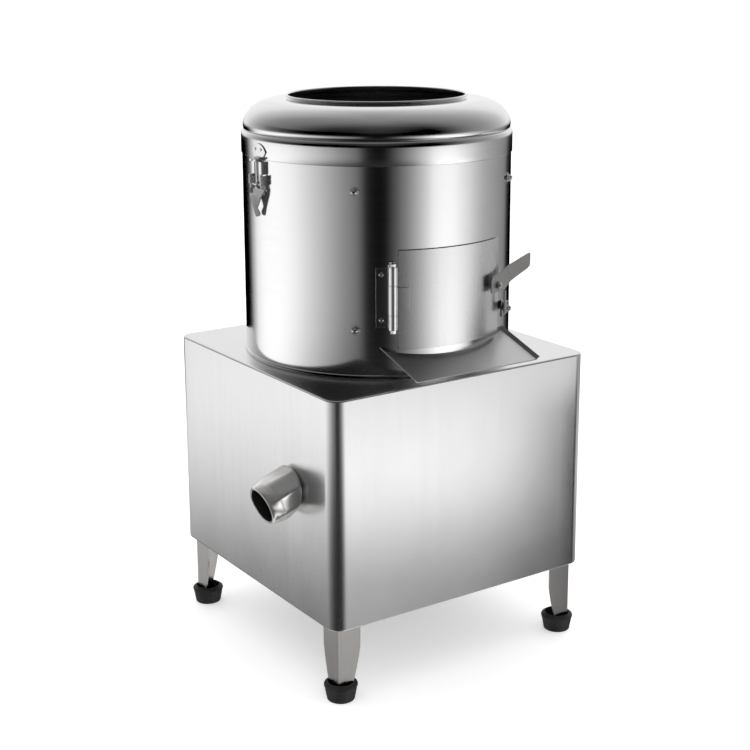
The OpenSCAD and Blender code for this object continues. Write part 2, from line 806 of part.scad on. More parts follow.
module driven_pulley() {
    hub_r = 26;
    web_holes = 6;
    web_hole_r = 17;
    color(dark_steel) difference() {
        v_pulley(driven_r, hub_r, shaft_r + run);
        for (k = [0:web_holes - 1]) rotate([0, 0, 360 / web_holes * k])
            translate([(driven_r + hub_r) / 2 - 6, 0, pulley_z - past])
                cylinder(r = web_hole_r, h = pulley_w + 2 * past, $fn = 48);
    }
}

module motor_pulley() {
    color(dark_steel) translate([motor_d, motor_d, 0])
        v_pulley(driver_r, driver_r * 0.55, motor_shaft_r + run);
}

module drive_belt() {
    r1 = driven_r - 1 - belt_t;
    r2 = driver_r - 1 - belt_t;
    wrap = acos((r1 - r2) / motor_centre_d);
    free = motor_centre_d * sin(wrap);
    overlap = 1;
    slim = 0.05;
    color(black_rubber) rotate([0, 0, 45]) {
        rotate([0, 0, wrap]) rotate_extrude(angle = 360 - 2 * wrap, $fn = round_fn) belt_section(r1);
        translate([motor_centre_d, 0, 0]) rotate([0, 0, -wrap])
            rotate_extrude(angle = 2 * wrap, $fn = round_fn) belt_section(r2);
        for (side = [-1, 1]) rotate([0, 0, side * wrap])
            translate([0, (1 - side) / 2 * free + overlap, 0]) rotate([90, 0, 0])
                linear_extrude(free + 2 * overlap) belt_section(r1, slim);
    }
}

module motor_shaft() {
    color(steel) translate([motor_d, motor_d, pulley_z - 4])
        cylinder(r = motor_shaft_r, h = motor_low_z + 40 - pulley_z, $fn = 48);
}

module motor_body() {
    fin_h = motor_h - 44;
    fin_t = 2.4;
    fin_out = 7;
    shield_h = 14;
    foot_w = 90;
    foot_hh = 22;
    color([0.42, 0.45, 0.5]) translate([motor_d, motor_d, motor_low_z]) difference() {
        union() {
            cylinder(r = motor_r, h = motor_h, $fn = round_fn);
            translate([0, 0, -6]) cylinder(r = motor_r * 0.55, h = 7, $fn = 64);
            for (z = [0, motor_h - shield_h]) translate([0, 0, z])
                cylinder(r = motor_r + 3, h = shield_h, $fn = round_fn);
            for (k = [0:motor_fins - 1]) rotate([0, 0, 360 / motor_fins * k])
                translate([motor_r - 2, -fin_t / 2, (motor_h - fin_h) / 2])
                    cube([fin_out + 2 - 4, fin_t, fin_h]);
            for (z = [20, motor_h - 20 - foot_hh])
                translate([-foot_w / 2, motor_r * 0.6, z])
                    cube([foot_w, bracket_y - motor_d - motor_r * 0.6, foot_hh]);
        }
        translate([0, 0, -past - 6]) cylinder(r = motor_shaft_r + run, h = 60, $fn = 48);
    }
}

module motor_fan_cover() {
    cover_h = 34;
    wall = 1.5;
    slots = 12;
    color([0.3, 0.32, 0.35]) translate([motor_d, motor_d, motor_top_z]) difference() {
        union() {
            cylinder(r = motor_r, h = cover_h - 6, $fn = round_fn);
            translate([0, 0, cover_h - 6]) cylinder(r1 = motor_r, r2 = motor_r - 6, h = 6, $fn = round_fn);
        }
        translate([0, 0, -past]) cylinder(r = motor_r - wall, h = cover_h - 6 - wall + past, $fn = round_fn);
        for (k = [0:slots - 1]) rotate([0, 0, 360 / slots * k])
            translate([18, -1.8, cover_h - 10]) cube([32, 3.6, 20]);
    }
}

module motor_terminal_box() {
    box_d = 34;
    box_w = 66;
    box_h = 72;
    flat_x = motor_d - motor_r - 3.2;
    color([0.35, 0.38, 0.42]) difference() {
        union() {
            translate([flat_x - box_d, motor_d - box_w / 2, motor_low_z + 34])
                cube([box_d, box_w, box_h]);
            translate([flat_x - box_d - 3, motor_d - box_w / 2 - 2, motor_low_z + 32])
                cube([5, box_w + 4, box_h + 4]);
        }
        translate([motor_d, motor_d, motor_low_z])
            cylinder(r = motor_r + 3.2, h = motor_h, $fn = round_fn);
    }
}

// Plate behind the motor, its upper edge turned out under the bridge
module motor_bracket() {
    plate_t = 5;
    plate_w = 130;
    lip = 22;
    top_z = bridge_z - bridge_t;
    low_z = motor_low_z + 8;
    slot_r = 4;
    color(dark_steel) difference() {
        union() {
            translate([motor_d - plate_w / 2, bracket_y, low_z]) cube([plate_w, plate_t, top_z - low_z]);
            translate([motor_d - plate_w / 2, bracket_y, top_z - plate_t]) cube([plate_w, lip, plate_t]);
        }
        for (side = [-1, 1], z = [motor_low_z + 31, motor_low_z + motor_h - 31], dx = [-1, 1])
            translate([motor_d + side * 52 + dx * 3, bracket_y - past, z]) rotate([-90, 0, 0])
                cylinder(r = slot_r, h = 3 * past, $fn = small_fn);
    }
}

// ---- Drain ----

module drain_pipe(r, extra = 0) {
    turn = 90 - drain_tilt;
    // Height where the outlet's axis passes under the pan's hole
    axis_z = deck_z - drain_drop + (half_w - drain_pipe_d) * tan(drain_tilt);
    tangent = drain_bend_r * tan(turn / 2);
    bend_z = axis_z + tangent;
    run_len = (half_w - drain_pipe_d) / cos(drain_tilt) - tangent - elbow_gap;
    // The straight ends reach a little way round the bend, which is a touch narrower
    lap = 1;
    step = 0.3;
    translate([-drain_pipe_d, drain_y, bend_z - lap])
        cylinder(r = r, h = flange_z - bend_z + lap + extra, $fn = 64);
    translate([-drain_pipe_d - drain_bend_r, drain_y, bend_z]) rotate([-90, 0, 0])
        rotate_extrude(angle = turn, $fn = round_fn)
            translate([drain_bend_r, 0]) circle(r - step, $fn = 64);
    translate([-drain_pipe_d, drain_y, axis_z]) rotate([0, -90 - drain_tilt, 0])
        translate([0, 0, tangent - lap]) cylinder(r = r, h = run_len + lap + extra, $fn = 64);
}

module drain_elbow() {
    color(satin) difference() {
        drain_pipe(drain_bore_r + drain_wall);
        drain_pipe(drain_bore_r, past);
    }
}

// The eight-sided grip ends close to the wall and is chamfered parallel to it
module drain_outlet() {
    nut_z1 = outlet_len - 18;
    corner_r = outlet_af / 2 / cos(22.5);
    wall_gap = 2 * air;
    color([0.74, 0.74, 0.74]) drain_frame() difference() {
        union() {
            translate([0, 0, -elbow_gap]) cylinder(r = outlet_neck_r, h = elbow_gap + nut_z1, $fn = 64);
            intersection() {
                rotate([0, 0, 22.5]) translate([0, 0, -elbow_gap])
                    cylinder(r = corner_r, h = elbow_gap + nut_z1 + 6, $fn = 8);
                rotate_extrude($fn = 64) polygon([[0, -elbow_gap], [corner_r + 1, -elbow_gap],
                    [corner_r + 1, nut_z1 - 4], [corner_r - 5, nut_z1 + 4], [0, nut_z1 + 4]]);
                rotate([0, drain_tilt, 0]) translate([0, 0, wall_gap])
                    cylinder(r1 = corner_r - 6, r2 = 2 * corner_r + outlet_len - 6,
                        h = corner_r + outlet_len, $fn = 64);
            }
            rotate_extrude($fn = 64) polygon(concat([[0, nut_z1 - 2]],
                [for (k = [0:6]) [outlet_mouth_r + (outlet_af / 2 - 0.6 - outlet_mouth_r) * cos(15 * k),
                    nut_z1 - 2 + (outlet_len - nut_z1 + 2) * sin(15 * k)]], [[0, outlet_len]]));
        }
        translate([0, 0, -elbow_gap - past])
            cylinder(r = drain_bore_r, h = outlet_len + elbow_gap + 2 * past, $fn = 64);
        translate([0, 0, outlet_len - outlet_socket_len])
            cylinder(r = outlet_socket_r, h = outlet_socket_len + past, $fn = 64);
    }
}

// ---- Lid ----

module lid_skirt() {
    shoulder_h = 9;
    inset = skirt_out_r - groove_r;
    color(satin) {
        rotate_extrude($fn = round_fn) polygon(concat(
            [[skirt_in_r, skirt_z0], [skirt_out_r, skirt_z0]],
            arc(groove_r, groove_z - shoulder_h, inset, shoulder_h, 0, 90, 6),
            [[groove_r - lid_t, groove_z]],
            arc(groove_r - lid_t, groove_z - shoulder_h, inset, shoulder_h - lid_t, 80, 0, 6)));
        translate([0, 0, ledge_z]) tube(skirt_in_r - 0.5, drum_r - 7, lid_t);
    }
}

module lid_dome() {
    swell = dome_r - groove_r;
    rise = dome_wide_z - groove_z;
    neck_r = mouth_r + mouth_roll_r;
    cove_r = neck_r + mouth_cove_h;
    cove_z = dome_top_z + mouth_cove_h;
    cove_under = mouth_cove_h + lid_t;
    color(satin) {
        rotate_extrude($fn = round_fn) polygon(concat(
            arc(groove_r, dome_wide_z, swell, rise, -90, 0, 4),
            arc(dome_mid_r, dome_wide_z, dome_reach, dome_rise, 0, 90, 16),
            arc(cove_r, cove_z, mouth_cove_h, mouth_cove_h, -90, -180, 4),
            arc(cove_r, cove_z, cove_under, cove_under, -180, -90, 4),
            arc(dome_mid_r, dome_wide_z, dome_reach - lid_t, dome_rise - lid_t, 90, 0, 16),
            arc(groove_r - lid_t, dome_wide_z, swell, rise, 0, -90, 4)));
        rotate_extrude($fn = round_fn)
            translate([neck_r, cove_z + 1.3]) circle(mouth_roll_r, $fn = 20);
    }
}

module lid_gasket() {
    color(black_rubber) translate([0, 0, rim_z + air])
        tube(drum_r - 0.6, drum_r - 5.5, ledge_z - rim_z - air);
}

// ---- Lid latches, drawn at the right (+X) side ----

module toggle_side(left) {
    rotate([0, 0, left ? 180 : 0]) children();
}

// Half angle of the drum that a half width covers
function half_angle(half) = asin(half / drum_r);

module latch_keepers() {
    half_top = 24;
    half_low = 9;
    wide_h = 18;
    prong_y0 = 2.6;
    plate_r = skirt_out_r + 0.05;
    arc_z = keeper_floor_z + 3.5;
    lip_t = 1.5;
    color(steel) for (left = [true, false]) toggle_side(left) {
        intersection() {
            band(plate_r, plate_r + keeper_t, -8, 8, keeper_floor_z, keeper_floor_z + 40);
            upright_plate([[-half_low, keeper_floor_z], [half_low, keeper_floor_z],
                [half_top, keeper_floor_z + wide_h], [half_top, keeper_floor_z + 40],
                [-half_top, keeper_floor_z + 40], [-half_top, keeper_floor_z + wide_h]], drum_r, 20);
            translate([drum_r, 0, arc_z]) rotate([0, 90, 0]) cylinder(r = keeper_arc_r, h = 20, $fn = 64);
        }
        for (side = [-1, 1]) translate([0, side * (half_low + prong_y0) / 2, keeper_floor_z]) {
            prong_w = half_low - prong_y0;
            translate([plate_r + 0.5, -prong_w / 2, 0])
                cube([hook_lip_r + lip_t - plate_r - 0.5, prong_w, keeper_t]);
            translate([hook_lip_r, -prong_w / 2, 0]) cube([lip_t, prong_w, keeper_t + hook_lip_h]);
        }
        for (side = [-1, 1]) rotate([0, 0, side * half_angle(8)])
            translate([plate_r + keeper_t - bite, 0, keeper_floor_z + 17]) rotate([0, 90, 0])
                cylinder(r1 = 2.5, r2 = 1.8, h = 1 + bite, $fn = 24);
    }
}

module latch_bases() {
    half_w0 = 19;
    plate_z0 = toggle_z - 14;
    plate_z1 = keeper_floor_z - 0.5;
    plate_r = drum_r + 0.1;
    plate_t = 1.5;
    slot_half = 6;
    slot_z = toggle_z + 8;
    rib_half = 8;
    rib_mid = 10.5;
    rib_r = toggle_r + 0.7;
    pin_in = cheek_y - cheek_t - 0.6;
    color(steel) for (left = [true, false]) toggle_side(left) {
        difference() {
            union() {
                band(plate_r, plate_r + plate_t, -half_angle(half_w0), half_angle(half_w0),
                    plate_z0, plate_z1);
                for (side = [-1, 1]) {
                    translate([plate_r + 0.4, side * rib_mid - rib_half / 2, slot_z + 0.5])
                        cube([rib_r - plate_r - 0.4, rib_half, plate_z1 - slot_z - 1]);
                    translate([plate_r + 0.4, side * (ear_y - ear_t / 2) - ear_t / 2, toggle_z - 7])
                        cube([toggle_r + 4.5 - plate_r - 0.4, ear_t, 14]);
                }
            }
            translate([drum_r - past, -slot_half, slot_z]) cube([2 * past, 2 * slot_half, 40]);
        }
        for (side = [-1, 1]) translate([toggle_r, side * (pin_in + ear_y + 1) / 2, toggle_z])
            rotate([90, 0, 0]) cylinder(r = toggle_rod_r, h = ear_y + 1 - pin_in, center = true, $fn = 24);
    }
}

module latch_lever(left) {
    zt = toggle_z - 12;
    zb = toggle_z - toggle_len;
    zn = zb + 14;
    notch_half = 5;
    notch_z = zt - 8;
    ridge_r = toggle_r + 13.7;
    slope = 0.7;
    sheet = 1.8;
    hw = toggle_w / 2;
    cheek_r0 = toggle_r - 3.8;
    cheek_r1 = toggle_r + 2.7;
    color(steel) toggle_side(left) difference() {
        union() {
            intersection() {
                translate([0, 0, zb - past]) linear_extrude(toggle_len + past) polygon([
                    [ridge_r, 0], [ridge_r - slope * 30, 30], [ridge_r - slope * 30 - sheet, 30],
                    [ridge_r - sheet, 0], [ridge_r - slope * 30 - sheet, -30],
                    [ridge_r - slope * 30, -30]]);
                upright_plate(concat(
                    [[-notch_half, zt], [-notch_half, notch_z], [notch_half, notch_z], [notch_half, zt]],
                    [[hw - 3, zt], [hw, zt - 3], [toggle_neck_w / 2, zn]],
                    arc(0, zb + 6, toggle_tail_w / 2, 6, 0, -180, 8),
                    [[-toggle_neck_w / 2, zn], [-hw, zt - 3], [3 - hw, zt]]), drum_r, 40);
            }
            for (side = [-1, 1]) translate([0, side * (cheek_y - cheek_t / 2), 0]) {
                translate([cheek_r0, -cheek_t / 2, toggle_z - 22])
                    cube([cheek_r1 - cheek_r0, cheek_t, 22]);
                translate([toggle_r, 0, toggle_z]) rotate([90, 0, 0])
                    cylinder(r = 3.9, h = cheek_t, center = true, $fn = 32);
            }
            translate([toggle_r, 0, hook_pin_z]) rotate([90, 0, 0])
                cylinder(r = toggle_rod_r, h = 2 * cheek_y - 0.5, center = true, $fn = 24);
        }
        for (side = [-1, 1]) translate([toggle_r, side * cheek_y, toggle_z]) rotate([90, 0, 0])
            cylinder(r = toggle_rod_r + run, h = 8, center = true, $fn = 24);
    }
}

module latch_hook(left) {
    eye_r = 3.7;
    eye_w = 8;
    bar_w = 17;
    color(steel) toggle_side(left) translate([toggle_r, 0, 0]) difference() {
        union() {
            translate([0, 0, hook_pin_z]) rotate([90, 0, 0])
                cylinder(r = eye_r, h = eye_w, center = true, $fn = 32);
            translate([0, 0, hook_pin_z]) cylinder(r = toggle_rod_r, h = hook_bar_z - hook_pin_z, $fn = 24);
            translate([0, 0, hook_bar_z]) rotate([90, 0, 0])
                cylinder(r = toggle_rod_r, h = bar_w, center = true, $fn = 24);
        }
        translate([0, 0, hook_pin_z]) rotate([90, 0, 0])
            cylinder(r = toggle_rod_r + run, h = eye_w + 2, center = true, $fn = 24);
    }
}

// ---- Door ----

module latch_axis() {
    rotate([0, 0, latch_a]) translate([0, 0, deck_z + latch_h]) rotate([0, 90, 0]) children();
}

module door_panel() {
    color(steel) difference() {
        band(door_in_r, door_out_r, door_a0, door_a1, deck_z + door_low_h, deck_z + door_high_h);
        latch_axis() translate([0, 0, drum_in_r]) cylinder(r = latch_bolt_r + run, h = latch_stand, $fn = small_fn);
    }
}

module door_seal() {
    edge = 0.4;
    color(black_rubber) difference() {
        band(drum_r + air, door_in_r - air / 2, door_a0 + edge, door_a1 - edge,
            deck_z + door_low_h + 1, deck_z + door_high_h - 1);
        discharge_cut(0.4);
        latch_axis() translate([0, 0, drum_in_r]) cylinder(r = latch_bolt_r + 2, h = latch_stand, $fn = small_fn);
    }
}

module knuckle(z0, z1) {
    translate([hinge_pin_d, 0, z0]) cylinder(r = hinge_barrel_r, h = z1 - z0, $fn = 48);
}

module hinge_bore(r) {
    translate([hinge_pin_d, 0, deck_z]) cylinder(r = r, h = hinge_high_h + past, $fn = 48);
}

module drum_hinge_leaf() {
    leaf_w_a = 6.6;
    leaf_r = drum_r + run;
    low = deck_z + hinge_low_h;
    high = deck_z + hinge_high_h;
    screw_in = 12;
    color(steel) rotate([0, 0, hinge_a]) difference() {
        union() {
            band(leaf_r, leaf_r + leaf_t, -leaf_w_a, -0.7, low + 2, high - 2);
            for (z = [[low, deck_z + knuckle_low_h], [deck_z + knuckle_high_h, high]]) {
                knuckle(z[0], z[1]);
                translate([leaf_r + 0.4, -5.6, max(z[0], low + 3)])
                    cube([hinge_pin_d - leaf_r - 1.4, 2.2, min(z[1], high - 3) - max(z[0], low + 3)]);
            }
            for (z = [low + screw_in + 1, high - screw_in])
                outward(-4.4, leaf_r + leaf_t - bite, z) rotate_extrude($fn = 24)
                    polygon(concat([[0, 0]], arc(0, 0, 3.6, 2.4, 0, 90, 5)));
        }
        hinge_bore(hinge_pin_r + 0.02);
    }
}

module door_hinge_leaf() {
    leaf_a0 = 0.2;
    leaf_a1 = 6.6;
    low = deck_z + knuckle_low_h + air;
    high = deck_z + knuckle_high_h - air;
    color(steel) rotate([0, 0, hinge_a]) difference() {
        union() {
            knuckle(low, high);
            band(door_out_r, door_out_r + leaf_t, leaf_a0, leaf_a1, low + 5, high - 4);
        }
        hinge_bore(hinge_pin_r + run);
    }
}

module hinge_pin() {
    head_h = 5.5;
    low = deck_z + hinge_low_h;
    high = deck_z + hinge_high_h;
    color(steel) rotate([0, 0, hinge_a]) translate([hinge_pin_d, 0, 0]) {
        translate([0, 0, low - 4]) cylinder(r = hinge_pin_r, h = high - low + 8, $fn = 48);
        translate([0, 0, high + 0.1]) cylinder(r = hinge_barrel_r - 0.6, h = 1.4, $fn = 48);
        translate([0, 0, high + 1.4]) hex(8, head_h - 1.4);
        translate([0, 0, low - head_h]) hex(8, head_h - 0.1);
    }
}

module door_latch_lever() {
    z0 = deck_z + latch_h;
    fold = latch_fold_u;
    rise = 22;
    color(steel) rotate([0, 0, latch_a]) difference() {
        union() {
            upright_plate([[-20, z0 - 9], [20, z0 - 10], [fold, z0 - 1.5], [fold, z0 + 26.5],
                [6, z0 + 18], [-14, z0 + 16.5], [-18.5, z0 + 14.5], [-20, z0 + 11]], latch_in_r, latch_t);
            translate([latch_in_r + latch_t / 2, fold, z0 - 1.5])
                cylinder(r = latch_t / 2, h = 28, $fn = 24);
            translate([latch_in_r + latch_t / 2, fold, 0]) rotate([0, 0, -latch_bend_a])
                upright_plate([[0, z0 - 1.5], [7, z0 + 4], [latch_handle_len - 4, z0 + rise - 3],
                    [latch_handle_len - 1, z0 + rise + 0.5], [latch_handle_len, z0 + rise + 4],
                    [latch_handle_len, z0 + rise + 20], [latch_handle_len - 2, z0 + rise + 21.5],
                    [0, z0 + 26.5]], -latch_t / 2, latch_t);
        }
        translate([latch_in_r - past, 0, z0]) rotate([0, 90, 0])
            cylinder(r = latch_bolt_r + run, h = 4 * past, $fn = small_fn);
    }
}

module latch_pivot_bolt() {
    head_t = 1.4;
    nut_h = 3.6;
    color(steel) latch_axis() {
        translate([0, 0, door_in_r - head_t - 0.1]) cylinder(r = 4.6, h = head_t, $fn = small_fn);
        translate([0, 0, door_in_r - head_t])
            cylinder(r = latch_bolt_r, h = latch_out_r + nut_h + 2 - door_in_r + head_t, $fn = small_fn);
        translate([0, 0, door_out_r + 0.1]) hex(10, latch_in_r - door_out_r - 0.1 - air);
        translate([0, 0, latch_out_r + air]) hex(10, nut_h);
    }
}

// Strip under a liner nut; its bar stands in front of the turned latch plate
module door_keeper() {
    plate_r = drum_r + run;
    plate_half_h = 9;
    plate_low_a = 6.3;
    plate_high_a = 3.6;
    strip_t = 2;
    strip_h = 14;
    strip_a = keeper_screw_a - 5.5 - latch_a;
    screw_z = deck_z + liner_low_h;
    strip_z = screw_z + 3;
    bar_x = latch_out_r + 0.8;
    bar_y = 15.5;
    bar_w = 4.5;
    bar_top = deck_z + latch_h - 12;
    root = [(drum_r + 1.2) * cos(strip_a), (drum_r + 1.2) * sin(strip_a)];
    tip = [bar_x + strip_t / 2, bar_y + 1];
    turn = atan2(tip[1] - root[1], tip[0] - root[0]);
    color(steel) difference() {
        union() {
            band(plate_r, plate_r + keeper_plate_t, keeper_screw_a - plate_low_a,
                keeper_screw_a + plate_high_a, screw_z - plate_half_h, screw_z + plate_half_h);
            rotate([0, 0, latch_a]) {
                translate([root[0], root[1], strip_z]) rotate([0, 0, turn])
                    translate([0, -strip_t / 2, 0]) cube([norm(tip - root), strip_t, strip_h]);
                translate([bar_x, bar_y, strip_z]) cube([strip_t, bar_w, bar_top - strip_z]);
            }
        }
        cylinder(r = drum_r, h = 2 * deck_z, $fn = round_fn);
        outward(keeper_screw_a, drum_in_r, screw_z) cylinder(r = screw_r + play, h = latch_stand, $fn = small_fn);
    }
}

// ---- Chute ----

module discharge_chute() {
    reach = (chute_front_d - 150) / cos(chute_slope_a);
    color(satin) difference() {
        translate([0, -chute_front_d, deck_z + chute_front_h]) rotate([chute_slope_a, 0, 0]) {
            translate([-chute_w / 2, 0, 0]) cube([chute_w, reach, chute_t]);
            translate([chute_w / 2, 0, 0]) rotate([0, -45, 0]) cube([chute_flange_w, reach, chute_t]);
            translate([-chute_w / 2, 0, 0]) mirror([1, 0, 0]) rotate([0, -45, 0])
                cube([chute_flange_w, reach, chute_t]);
        }
        cylinder(r = drum_r + 0.1, h = 2 * deck_z, $fn = round_fn);
    }
}

// ---- Switch, water inlet and cable gland ----

module switch_box() {
    frame_w = 3;
    color([0.2, 0.2, 0.21]) translate([half_w, switch_y, switch_z]) rotate([90, 0, 90]) difference() {
        union() {
            translate([-switch_w / 2, -switch_h / 2, 0]) cube([switch_w, switch_h, switch_d - 4]);
            translate([-switch_w / 2 + frame_w, -switch_h / 2 + frame_w, 0])
                cube([switch_w - 2 * frame_w, switch_h - 2 * frame_w, switch_d]);
            for (side = [-1, 1]) translate([0, side * button_pitch / 2, 0])
                cylinder(r = button_r + 3.5, h = switch_d + 2, $fn = 48);
        }
        for (side = [-1, 1]) translate([0, side * button_pitch / 2, switch_d - 12])
            cylinder(r = button_r + air, h = 40, $fn = 48);
        translate([0, 0, -past]) cylinder(r = wire_hole_r, h = past + 4, $fn = small_fn);
    }
}

module push_button(side, head, tint) {
    seat = 12 - button_travel - 1;
    color(tint) translate([half_w + switch_d - seat, switch_y, switch_z + side * button_pitch / 2])
        rotate([0, 90, 0]) {
            cylinder(r = button_r, h = seat + 2 + head, $fn = 48);
            translate([0, 0, seat + 2 + head - bite])
                cylinder(r1 = button_r, r2 = button_r - 1.2, h = 1.2 + bite, $fn = 48);
        }
}

module start_button() {
    push_button(1, 1.5, [0.1, 0.55, 0.2]);
}

module stop_button() {
    push_button(-1, 4.5, [0.75, 0.08, 0.06]);
}

module water_inlet() {
    nut_h = 6;
    nut_af = 22;
    color(steel) rotate([0, 0, 90]) translate([0, 0, inlet_z]) rotate([0, 90, 0]) difference() {
        union() {
            translate([0, 0, drum_in_r - 9]) cylinder(r = inlet_r, h = inlet_len + 9 + drum_t, $fn = 48);
            translate([0, 0, drum_r + air]) hex(nut_af, nut_h);
            translate([0, 0, drum_in_r - 0.8 - nut_h]) hex(nut_af, nut_h);
        }
        cylinder(r = inlet_bore_r, h = 2 * drum_r, $fn = 48);
    }
}

module cable_gland() {
    out = 20;
    color([0.15, 0.15, 0.16]) translate([gland_x, half_w, gland_z]) rotate([-90, 0, 0]) difference() {
        union() {
            translate([0, 0, -10]) cylinder(r = gland_thread_r, h = 12, $fn = small_fn);
            translate([0, 0, 0]) hex(24, 6);
            translate([0, 0, 5]) cylinder(r = 10.5, h = 9, $fn = 48);
            translate([0, 0, 14 - bite]) cylinder(r1 = 10.5, r2 = 7, h = out - 14, $fn = 48);
            translate([0, 0, -cabinet_sheet_t - 5]) hex(24, 5);
        }
        translate([0, 0, -2 * past]) cylinder(r = gland_bore_r, h = out + 4 * past, $fn = small_fn);
    }
}

housing_shell();
housing_top();
corner_post(false, false);  // post_front_left
corner_post(true, false);  // post_front_right
corner_post(false, true);  // post_rear_left
corner_post(true, true);  // post_rear_right
rubber_foot(false, false);  // foot_front_left
rubber_foot(true, false);  // foot_front_right
rubber_foot(false, true);  // foot_rear_left
rubber_foot(true, true);  // foot_rear_right
lower_frame();
upper_frame();
bearing_bridge();
drum_shell();
abrasive_liner();
liner_cap_nuts();
liner_screws();
waste_pan();
turntable_disc();
abrasive_pad();
hub_nut();
drive_shaft();
bearing_housing();
shaft_bearings();
shaft_seal();
bearing_bolts();
driven_pulley();
drive_belt();
motor_pulley();
motor_shaft();
motor_body();
motor_fan_cover();
motor_terminal_box();
motor_bracket();
drain_elbow();
drain_outlet();
lid_skirt();
lid_dome();
lid_gasket();
latch_keepers();
latch_bases();
latch_lever(true);  // left_latch_lever
latch_lever(false);  // right_latch_lever
latch_hook(true);  // left_latch_hook
latch_hook(false);  // right_latch_hook
door_panel();
door_seal();
door_hinge_leaf();
drum_hinge_leaf();
hinge_pin();
door_latch_lever();
latch_pivot_bolt();
door_keeper();
discharge_chute();
switch_box();
start_button();
stop_button();
water_inlet();
cable_gland();
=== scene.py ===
import math

import bmesh
import bpy
from mathutils import Matrix, Vector


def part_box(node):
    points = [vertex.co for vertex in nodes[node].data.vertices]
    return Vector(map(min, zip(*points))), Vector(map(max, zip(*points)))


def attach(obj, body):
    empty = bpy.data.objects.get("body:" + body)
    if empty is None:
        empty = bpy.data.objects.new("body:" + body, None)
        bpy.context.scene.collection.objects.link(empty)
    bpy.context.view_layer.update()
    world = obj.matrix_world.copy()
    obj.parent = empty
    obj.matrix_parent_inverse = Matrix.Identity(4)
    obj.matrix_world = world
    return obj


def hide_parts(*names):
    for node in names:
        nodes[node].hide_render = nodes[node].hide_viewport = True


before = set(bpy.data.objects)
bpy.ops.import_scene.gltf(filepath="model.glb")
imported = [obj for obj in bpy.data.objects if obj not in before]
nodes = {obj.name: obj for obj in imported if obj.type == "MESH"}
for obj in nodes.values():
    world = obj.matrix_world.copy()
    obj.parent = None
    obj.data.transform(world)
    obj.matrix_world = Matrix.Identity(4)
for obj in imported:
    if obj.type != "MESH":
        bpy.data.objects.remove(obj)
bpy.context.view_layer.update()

# ---- Sizes, in metres ----

drum_low, drum_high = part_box("drum_shell")
DECK_Z = drum_low.z
RIM_Z = drum_high.z
DRUM_R = 0.2127
DRUM_T = 0.0015
HALF_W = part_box("housing_top")[1].x
CAB_Z0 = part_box("housing_shell")[0].z
CORNER_R = 0.0234
SKIRT_Z0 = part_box("lid_skirt")[0].z
SKIRT_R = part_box("lid_skirt")[1].x
MOUTH_R = 0.139

# ---- Camera ----

CAMERA_AT = Vector((-1.3042, -1.9268, 1.0839))
CAMERA_AIM = Vector((-0.0031, 0.0021, 0.5479))
CAMERA_ROLL = math.radians(-0.243)
CAMERA_LENS = 70.6
CAMERA_SHIFT_Y = -0.1


def make_camera():
    data = bpy.data.cameras.new("camera")
    data.lens = CAMERA_LENS
    data.sensor_width = 36.0
    data.shift_y = CAMERA_SHIFT_Y
    data.clip_end = 50.0
    camera = bpy.data.objects.new("camera", data)
    bpy.context.scene.collection.objects.link(camera)
    look = (CAMERA_AIM - CAMERA_AT).to_track_quat("-Z", "Y").to_matrix().to_4x4()
    camera.matrix_world = Matrix.Translation(CAMERA_AT) @ look @ Matrix.Rotation(CAMERA_ROLL, 4, "Z")
    bpy.context.scene.camera = camera


# ---- Node helpers ----


class NodeTree:
    """A node tree, with short calls that add a node and wire its inputs."""

    def __init__(self, tree):
        self.tree = tree
        self.tree.nodes.clear()

    def add(self, kind, values=None, links=None, **settings):
        node = self.tree.nodes.new(kind)
        for key, value in settings.items():
            setattr(node, key, value)
        for key, value in (values or {}).items():
            node.inputs[key].default_value = value
        for key, source in (links or {}).items():
            self.tree.links.new(source, node.inputs[key])
        return node

    def math(self, operation, a, b=None):
        node = self.add("ShaderNodeMath", operation=operation)
        for socket, value in zip(node.inputs, (a, b)):
            if value is None:
                continue
            if isinstance(value, (int, float)):
                socket.default_value = value
            else:
                self.tree.links.new(value, socket)
        return node.outputs[0]

    def weighted(self, first, share, second, other_share):
        """The sum of two values, each times a number."""
        return self.math(
            "ADD", self.math("MULTIPLY", first, share), self.math("MULTIPLY", second, other_share)
        )

    def mixed(self, first, second, share):
        """From the first value to the second, as share goes from 0 to 1."""
        return self.math(
            "ADD",
            self.math("MULTIPLY", first, self.math("SUBTRACT", 1.0, share)),
            self.math("MULTIPLY", second, share),
        )

    def curve(self, source, stops, low, high):
        """A smooth curve through the stops, over a range of angles or numbers."""
        span = self.add("ShaderNodeMapRange", {"From Min": low, "From Max": high}, {"Value": source})
        node = self.add("ShaderNodeFloatCurve", links={"Value": span.outputs[0]})
        points = node.mapping.curves[0].points
        node.mapping.use_clip = False
        while len(points) < len(stops):
            points.new(0.5, 0.5)
        for point, (at, value) in zip(points, stops):
            point.location = ((at - low) / (high - low), value)
        node.mapping.update()
        return node.outputs[0]


